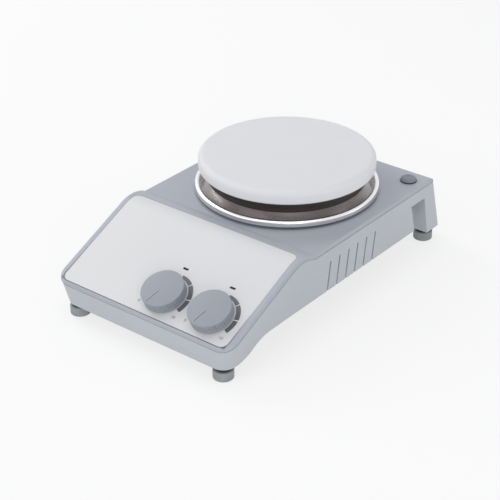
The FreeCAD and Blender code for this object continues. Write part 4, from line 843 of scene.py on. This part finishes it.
class STIRRER_OT_plate(bpy.types.Operator):
    """White round plate with its soft upper edge"""

    bl_idname = "stirrer.plate"
    bl_label = "Plate"

    def execute(self, context):
        sizes, colours = settings_of(context)
        under, top = node_span("hotplate")
        radius = sizes.plate_radius
        flat = [(r, top) for r in np.linspace(0, radius - sizes.plate_round - 1, 12)]
        corners = [
            (radius - sizes.plate_round - 0.5, top, 0), (radius, top, sizes.plate_round),
            (radius, under, sizes.plate_under_round), (radius - 4, under, 0),
        ]
        edge = rounded_path(corners, 14)
        path = np.vstack((flat, edge, [(0, under)]))[::-1]
        plate = turned("coated_plate", path, node_middle("hotplate"), 288)
        sharpen(plate, 60)
        finish_piece(plate, ceramic_coating(colours.plate), "housing", ("hotplate",))
        return {"FINISHED"}


class STIRRER_OT_pan(bpy.types.Operator):
    """Stepped heater pan, its pillars and what lies in it"""

    bl_idname = "stirrer.pan"
    bl_label = "Heater pan"

    def execute(self, context):
        sizes, colours = settings_of(context)
        low, high = node_span("heater_cover")
        radius = sizes.pan_radius
        step, wall, ledge = 2.6, 0.9, high - 4.6
        inner = radius - step
        corners = [
            (0, low, 0), (inner, low, 1.4), (inner, ledge, 0.35), (radius, ledge, 0.9),
            (radius, high - 1.6, 0.3), (radius - 0.35, high - 1.0, 0.3), (radius, high - 0.5, 0.2),
            (radius - 0.2, high, 0), (radius - wall, high, 0), (radius - wall, ledge + wall, 0.3),
            (inner - wall, ledge + wall, 0.3), (inner - wall, low + wall, 0.8), (0, low + wall, 0),
        ]
        pan = turned("heater_pan", rounded_path(corners, 6), node_middle("heater_cover"), 288)
        sharpen(pan, 50)
        finish_piece(pan, tinted_pan_steel(colours.pan), "housing", ("heater_cover",))
        # A bright sheet skirt hides the pillars between the pan and the dish.
        foot, sheet = node_span("drip_ring")[0] + 1.1, 0.5
        outline = rounded_path([
            (inner - 1.2 - sheet, low - 0.05, 0), (inner - 4.7 - sheet, foot, 0.15), (inner - 4.7, foot, 0.15),
            (inner - 1.2, low - 0.05, 0),
        ], 5)
        skirt = sharpen(turned("heat_skirt", outline, node_middle("heater_cover"), 192), 50)
        rolled = machined_metal("rolled_stainless_skirt", "#B4AFAF", 0.24, 0.34, 0.5)
        finish_piece(skirt, rolled, "housing")
        # The pillars are as grey as what the dish reflects, so they hardly show under the pan.
        cover(machined_metal("turned_stainless_pillar", "#857B78", 0.35, 0.5, 0.4), "pillars")
        cover(fired_block("mica_tape_element", "#8C7F6B", 1.2), "heating_element")
        cover(fired_block("pressed_fibre_board", "#D8D5CB", 0.8), "insulation_disc")
        return {"FINISHED"}


class STIRRER_OT_ring(bpy.types.Operator):
    """Polished drip ring with a rolled rim"""

    bl_idname = "stirrer.ring"
    bl_label = "Drip ring"

    def execute(self, context):
        sizes = in_millimetres(context.scene.stirrer_sizes)
        outer, wall, flat, lip = sizes.ring_radius, sizes.ring_wall, sizes.ring_floor, sizes.ring_lip
        low, top = node_span("drip_ring")
        rim, lip_drop, skirt = outer - lip, 1.3, top - 4.8
        if rim <= flat:
            raise ValueError("The drip ring's floor and lip are wider than the ring")
        # The dish rises as a parabola from the floor's edge to the lip.
        share = np.linspace(0, 1, 24)
        rise_r = flat + (rim - flat) * share
        rise_z = low + wall + (top - lip_drop - low - wall) * (0.45 * share + 0.55 * share ** 2)
        upper = np.stack((rise_r, rise_z), -1)
        crown = rounded_path([
            (rim, top - lip_drop, 0), (outer - 2.2, top, 2.4), (outer, top - 1.4, 1.0), (outer, skirt, 0.3),
            (outer - wall, skirt, 0.2), (outer - wall, top - 1.4 - wall, 0.2), (outer - 2.3, top - wall, 0),
        ], 8)
        lower = np.stack((rise_r + 0.3 * wall, rise_z - wall), -1)[::-1]
        hole = 20.0
        start = [(hole, low), (hole, low + wall), (flat - 0.5, low + wall)]
        path = np.vstack((start, upper, crown[1:], lower, [(flat - 0.5, low)]))
        ring = turned("drip_dish", path[::-1], node_middle("drip_ring"), 288)
        sharpen(ring, 45)
        finish_piece(ring, polished_stainless(), "housing", ("drip_ring",))
        return {"FINISHED"}


class STIRRER_OT_feet(bpy.types.Operator):
    """Rubber feet with a neck and a rolled lower edge"""

    bl_idname = "stirrer.feet"
    bl_label = "Feet"

    def execute(self, context):
        sizes, colours = settings_of(context)
        low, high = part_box("rubber_feet")
        inset = sizes.foot_radius * MM
        radius = sizes.foot_radius
        bore, recess, depth, waist, lip, top = 2.3, 3.9, 4.0, 4.6, 7.0, 10.0
        corners = [
            (bore, depth, 0), (recess, depth, 0.2), (recess, 0, 0.3), (radius, 0, 0.9), (radius, lip, 0.6),
            (waist, lip, 0.3), (waist, top, 0), (bore, top, 0),
        ]
        inside, outside, seat = waist + 0.1, waist + 1.1, lip + 0.05
        neck = [(inside, top, 0), (inside, seat, 0), (outside, seat, 0.2), (outside, top, 0)]
        feet, necks = [], []
        for x in (low[0] + inset, high[0] - inset):
            for y in (low[1] + inset, high[1] - inset):
                feet.append(turned("foot", rounded_path(corners, 6), (x, y), 96))
                necks.append(turned("neck", rounded_path(neck, 4), (x, y), 96))
        # A black ring round each foot's neck is painted shade: the dark band under the casing.
        neck_shade_rings = sharpen(join_pieces("foot_neck_painted_shade", necks), 50)
        black = moulded_rubber("painted_neck_shade_rubber", linear("#2C3034"))
        finish_piece(neck_shade_rings, black, "housing")
        joined = sharpen(join_pieces("moulded_feet", feet), 50)
        rubber = moulded_rubber("moulded_grey_rubber", colours.foot)
        finish_piece(joined, rubber, "housing", ("rubber_feet",))
        screws = machined_metal("zinc_plated_screw", "#AEB0AC", 0.3, 0.45, 0.3)
        cover(screws, "foot_screws", "casing_screws", "base_screws", "board_screws", "plate_screws")
        cover(screws, "motor_bolts", "bracket_screws")
        return {"FINISHED"}


class STIRRER_OT_rod_cap(bpy.types.Operator):
    """Rubber cap over the support rod's socket"""

    bl_idname = "stirrer.rod_cap"
    bl_label = "Rod cap"

    def execute(self, context):
        sizes, colours = settings_of(context)
        low, top = node_span("socket_cap")
        radius, seat = sizes.cap_radius, top - 2.95
        corners = [
            (0, low, 0), (3.95, low, 0.5), (3.95, seat, 0.2), (radius - 0.15, seat, 0.2),
            (radius, seat + 1.3, 0.6), (radius - 1.1, top, 0.9), (radius - 2.6, top, 0.6),
            (radius - 3.0, top - 0.3, 0.3), (0, top - 0.3, 0),
        ]
        cap = turned("rod_socket_cap", rounded_path(corners, 6), node_middle("socket_cap"), 128)
        sharpen(cap, 60)
        rubber = moulded_rubber("moulded_silicone_cap", colours.cap, 0.4)
        finish_piece(cap, rubber, "rod_cap", ("socket_cap",))
        # A black ring peeps out under the cap's near side as a dark crescent: painted shade under the cap.
        cap_shadow_outline = rounded_path([
            (4.4, seat + 0.05, 0), (radius + 0.1, seat + 0.05, 0.2), (radius + 0.1, seat + 1.0, 0.3),
            (radius - 0.5, seat + 1.15, 0),
        ], 5)
        shadow_mark = sharpen(turned("rod_cap_painted_shadow", cap_shadow_outline, node_middle("socket_cap"), 128), 60)
        black = moulded_rubber("painted_cap_shadow_rubber", linear("#2E3138"), 0.4)
        finish_piece(shadow_mark, black, "rod_cap")
        cover(machined_metal("turned_steel_insert", "#B0B1B3", 0.25, 0.4, 0.3), "socket_insert")
        return {"FINISHED"}


class STIRRER_OT_mains_parts(bpy.types.Operator):
    """Inlet, fuse holder and rocker switch on the rear panel"""

    bl_idname = "stirrer.mains_parts"
    bl_label = "Mains parts"

    def execute(self, context):
        # Nylon is near black with a sandy skin, and the rocker in it is polished to a wet shine.
        nylon = moulded_plastic("moulded_black_nylon", linear("#1A1A1B"), 0.4, 0.55, 0.6, 0.01, 0.03, 0.25)
        cover(nylon, "inlet_housing", "fuse_holder", "fuse_nut", "fuse_cap", "switch_housing")
        gloss = moulded_plastic("polished_black_rocker", linear("#141415"), 0.16, 0.26, 2.0, 0.002, 0.02, 0.3)
        cover(gloss, "switch_rocker")
        # Nickel makes the pins a bright, slightly yellow grey.
        cover(machined_metal("nickel_plated_brass_pin", "#C9C5BC", 0.15, 0.25, 0.4), "inlet_pins")
        cover(clear_glass(), "fuse")
        return {"FINISHED"}


class STIRRER_OT_inner_parts(bpy.types.Operator):
    """Motor, magnets, board and wiring inside the casing"""

    bl_idname = "stirrer.inner_parts"
    bl_label = "Inner parts"

    def execute(self, context):
        cover(layered_core(), "stator_core", "rotor")
        cover(wound_wire(), "motor_winding")
        cover(board_laminate(), "control_board")
        # Copper is salmon red, sintered bronze a dull brown with pores, and ground steel nearly a mirror.
        cover(machined_metal("drawn_copper_bar", "#B87449", 0.25, 0.4, 0.4), "shading_bars")
        cover(machined_metal("sintered_bronze_bush", "#A8854C", 0.35, 0.5, 0.4), "upper_bush", "lower_bush")
        cover(machined_metal("ground_steel_spindle", "#C0C0C2", 0.12, 0.22, 0.25), "spindle")
        cover(machined_metal("drawn_stainless_tube", "#BCBCBE", 0.2, 0.32, 0.3), "sensor_probe")
        # Pressed aluminium is pale and soft, and zinc plate a duller grey with a faint cast.
        cover(machined_metal("pressed_aluminium_carrier", "#C2C3C5", 0.28, 0.42, 0.5), "magnet_carrier")
        plated = machined_metal("zinc_plated_bracket", "#A6A8A9", 0.34, 0.5, 0.5)
        cover(plated, "upper_bracket", "lower_bracket")
        # Ferrite is charcoal and dull, and steatite chalk white.
        cover(fired_block("sintered_ferrite", "#2E2E31", 0.5), "drive_magnets")
        cover(fired_block("unglazed_steatite_block", "#DDD9CC", 0.5), "terminal_block")
        cover(moulded_plastic("moulded_nylon_bobbin", linear("#2A2A2C"), 0.45, 0.6, 0.7, 0.01), "coil_bobbin")
        moulded = moulded_plastic("epoxy_moulded_component", linear("#232326"), 0.4, 0.55, 0.6, 0.008)
        cover(moulded, "board_capacitor", "board_transformer", "board_triac")
        green = moulded_plastic("moulded_terminal_strip", linear("#3F7A52"), 0.35, 0.5, 0.6, 0.006)
        cover(green, "board_terminals")
        cover(moulded_rubber("black_silicone_rubber", linear("#1D1D1E")), "lead_grommet", "heater_leads")
        return {"FINISHED"}


# Soft lamps: place, point they look at, side in metres and power in watts
LAMPS = (
    ("left_softbox", (-1.2, 0.1, 0.9), (0.0, 0.0, 0.05), 0.8, 4.6),
    ("low_right_softbox", (0.9, -0.9, 0.35), (0.0, 0.0, 0.05), 0.6, 2.7),
    ("front_softbox", (-0.35, -1.25, 0.9), (0.0, -0.02, 0.05), 0.9, 2.6),
    ("top_softbox", (0.0, 0.05, 1.4), (0.0, 0.0, 0.05), 0.7, 2.0),
    ("near_right_softbox", (0.62, 0.45, 0.32), (0.0, 0.0, 0.05), 0.3, 0.35),
)
SKY_STRENGTH = 0.6
WHITE = (1.0, 1.0, 1.0, 1.0)
# How far the floor is mixed to white for direct views of it
FLOOR_WHITE = 0.72


class STIRRER_OT_studio(bpy.types.Operator):
    """Pale floor, soft lamps and the camera"""

    bl_idname = "stirrer.studio"
    bl_label = "Studio"

    def execute(self, context):
        colours = context.scene.stirrer_colours
        self.floor(colours.backdrop)
        for name, spot, aim, size, power in LAMPS:
            self.lamp(name, spot, aim, size, power)
        self.sky()
        self.camera()
        context.scene.view_settings.view_transform = "Standard"
        return {"FINISHED"}

    def floor(self, colour):
        """A round floor 6 m across that looks most of the way to white, so the shadow on it stays soft."""
        angle = np.arange(96) * 2 * math.pi / 96
        rim = np.stack((3 * np.cos(angle), 3 * np.sin(angle), np.zeros(96)), -1)
        points = np.vstack((rim, (0, 0, 0)))
        piece = build_mesh("studio_floor", points, np.zeros((0, 4), int), [(96, np.arange(96), True)])
        # Matt paper: no gloss, and a tone that hardly changes over the sheet.
        paper = new_material("matt_studio_paper")
        tree = paper.tree
        wandering_colour(paper, colour, 0.004, 120.0)
        set_shader(paper, Roughness=0.9)
        white = add_node(tree, "ShaderNodeEmission", {"Color": WHITE, "Strength": 1.0})
        part = {"operation": "MULTIPLY", 1: FLOOR_WHITE}
        share = add_node(tree, "ShaderNodeMath", part, {0: self.seen(tree)})
        links = {0: share.outputs["Value"], 1: paper.shader.outputs["BSDF"], 2: white.outputs["Emission"]}
        both = add_node(tree, "ShaderNodeMixShader", None, links)
        tree.links.new(both.outputs["Shader"], tree.nodes["Material Output"].inputs["Surface"])
        piece.data.materials.append(paper.material)

    def seen(self, tree):
        """One for rays from the camera and for those that metal and glass send on, else nothing."""
        path = add_node(tree, "ShaderNodeLightPath")
        first = {0: path.outputs["Is Camera Ray"], 1: path.outputs["Is Glossy Ray"]}
        direct = add_node(tree, "ShaderNodeMath", {"operation": "MAXIMUM"}, first).outputs["Value"]
        second = {0: direct, 1: path.outputs["Is Transmission Ray"]}
        return add_node(tree, "ShaderNodeMath", {"operation": "MAXIMUM"}, second).outputs["Value"]

    def lamp(self, name, spot, aim, size, power):
        """One square soft lamp that looks at a point."""
        light = bpy.data.lights.new(name, "AREA")
        light.shape = "SQUARE"
        light.size = size
        light.energy = power
        holder = bpy.data.objects.new(name, light)
        holder.location = spot
        holder.rotation_euler = (Vector(aim) - Vector(spot)).to_track_quat("-Z", "Y").to_euler()
        bpy.context.scene.collection.objects.link(holder)

    def sky(self):
        """Even pale surroundings, white where the camera and glossy rays look past the floor."""
        world = bpy.data.worlds.new("studio_sky")
        world.use_nodes = True
        tree = world.node_tree
        tree.nodes.clear()
        soft = add_node(tree, "ShaderNodeBackground", {"Color": linear("#F8F9FB"), "Strength": SKY_STRENGTH})
        white = add_node(tree, "ShaderNodeBackground", {"Color": WHITE, "Strength": 1.0})
        links = {0: self.seen(tree), 1: soft.outputs["Background"], 2: white.outputs["Background"]}
        both = add_node(tree, "ShaderNodeMixShader", None, links)
        add_node(tree, "ShaderNodeOutputWorld", None, {"Surface": both.outputs["Shader"]})
        bpy.context.scene.world = world

    def camera(self):
        """The photograph's view: a long lens from the front right, shifted to the picture's framing."""
        azimuth, height, distance = math.radians(38.1403), math.radians(28.5375), 1.1026
        target = Vector((0.0, 0.006, 0.04))
        back = Vector((
            math.sin(azimuth) * math.cos(height), -math.cos(azimuth) * math.cos(height), math.sin(height),
        ))
        lens = bpy.data.cameras.new("photo_view")
        lens.sensor_width = 36.0
        lens.lens = 106.36
        lens.shift_x = -0.02869
        lens.shift_y = -0.05384
        lens.clip_start = 0.05
        lens.clip_end = 20.0
        holder = bpy.data.objects.new("photo_view", lens)
        holder.location = target + back * distance
        holder.rotation_euler = (-back).to_track_quat("-Z", "Y").to_euler()
        bpy.context.scene.collection.objects.link(holder)
        bpy.context.scene.camera = holder


OPERATORS = (
    STIRRER_OT_casings, STIRRER_OT_film, STIRRER_OT_print, STIRRER_OT_dials, STIRRER_OT_plate,
    STIRRER_OT_pan, STIRRER_OT_ring, STIRRER_OT_feet, STIRRER_OT_rod_cap, STIRRER_OT_mains_parts,
    STIRRER_OT_inner_parts, STIRRER_OT_studio,
)


class STIRRER_PT_panel(bpy.types.Panel):
    """Sizes, colours and pieces of the stirrer"""

    bl_idname = "STIRRER_PT_panel"
    bl_label = "Hotplate Stirrer"
    bl_space_type = "VIEW_3D"
    bl_region_type = "UI"
    bl_category = "Stirrer"

    def draw(self, context):
        for group in (context.scene.stirrer_sizes, context.scene.stirrer_colours):
            box = self.layout.box()
            for name in group.bl_rna.properties.keys():
                if name not in ("rna_type", "name"):
                    box.prop(group, name)
        column = self.layout.column(align=True)
        for operator in OPERATORS:
            column.operator(operator.bl_idname)


CLASSES = (StirrerSizes, StirrerColours) + OPERATORS + (STIRRER_PT_panel,)


def register():
    for entry in CLASSES:
        bpy.utils.register_class(entry)
    bpy.types.Scene.stirrer_sizes = bpy.props.PointerProperty(type=StirrerSizes)
    bpy.types.Scene.stirrer_colours = bpy.props.PointerProperty(type=StirrerColours)


def unregister():
    del bpy.types.Scene.stirrer_colours
    del bpy.types.Scene.stirrer_sizes
    for entry in reversed(CLASSES):
        bpy.utils.unregister_class(entry)


def main():
    register()
    bpy.ops.stirrer.casings()
    bpy.ops.stirrer.film()
    bpy.ops.stirrer.print()
    bpy.ops.stirrer.dials()
    bpy.ops.stirrer.plate()
    bpy.ops.stirrer.pan()
    bpy.ops.stirrer.ring()
    bpy.ops.stirrer.feet()
    bpy.ops.stirrer.rod_cap()
    bpy.ops.stirrer.mains_parts()
    bpy.ops.stirrer.inner_parts()
    bpy.ops.stirrer.studio()


if __name__ == "__main__":
    main()
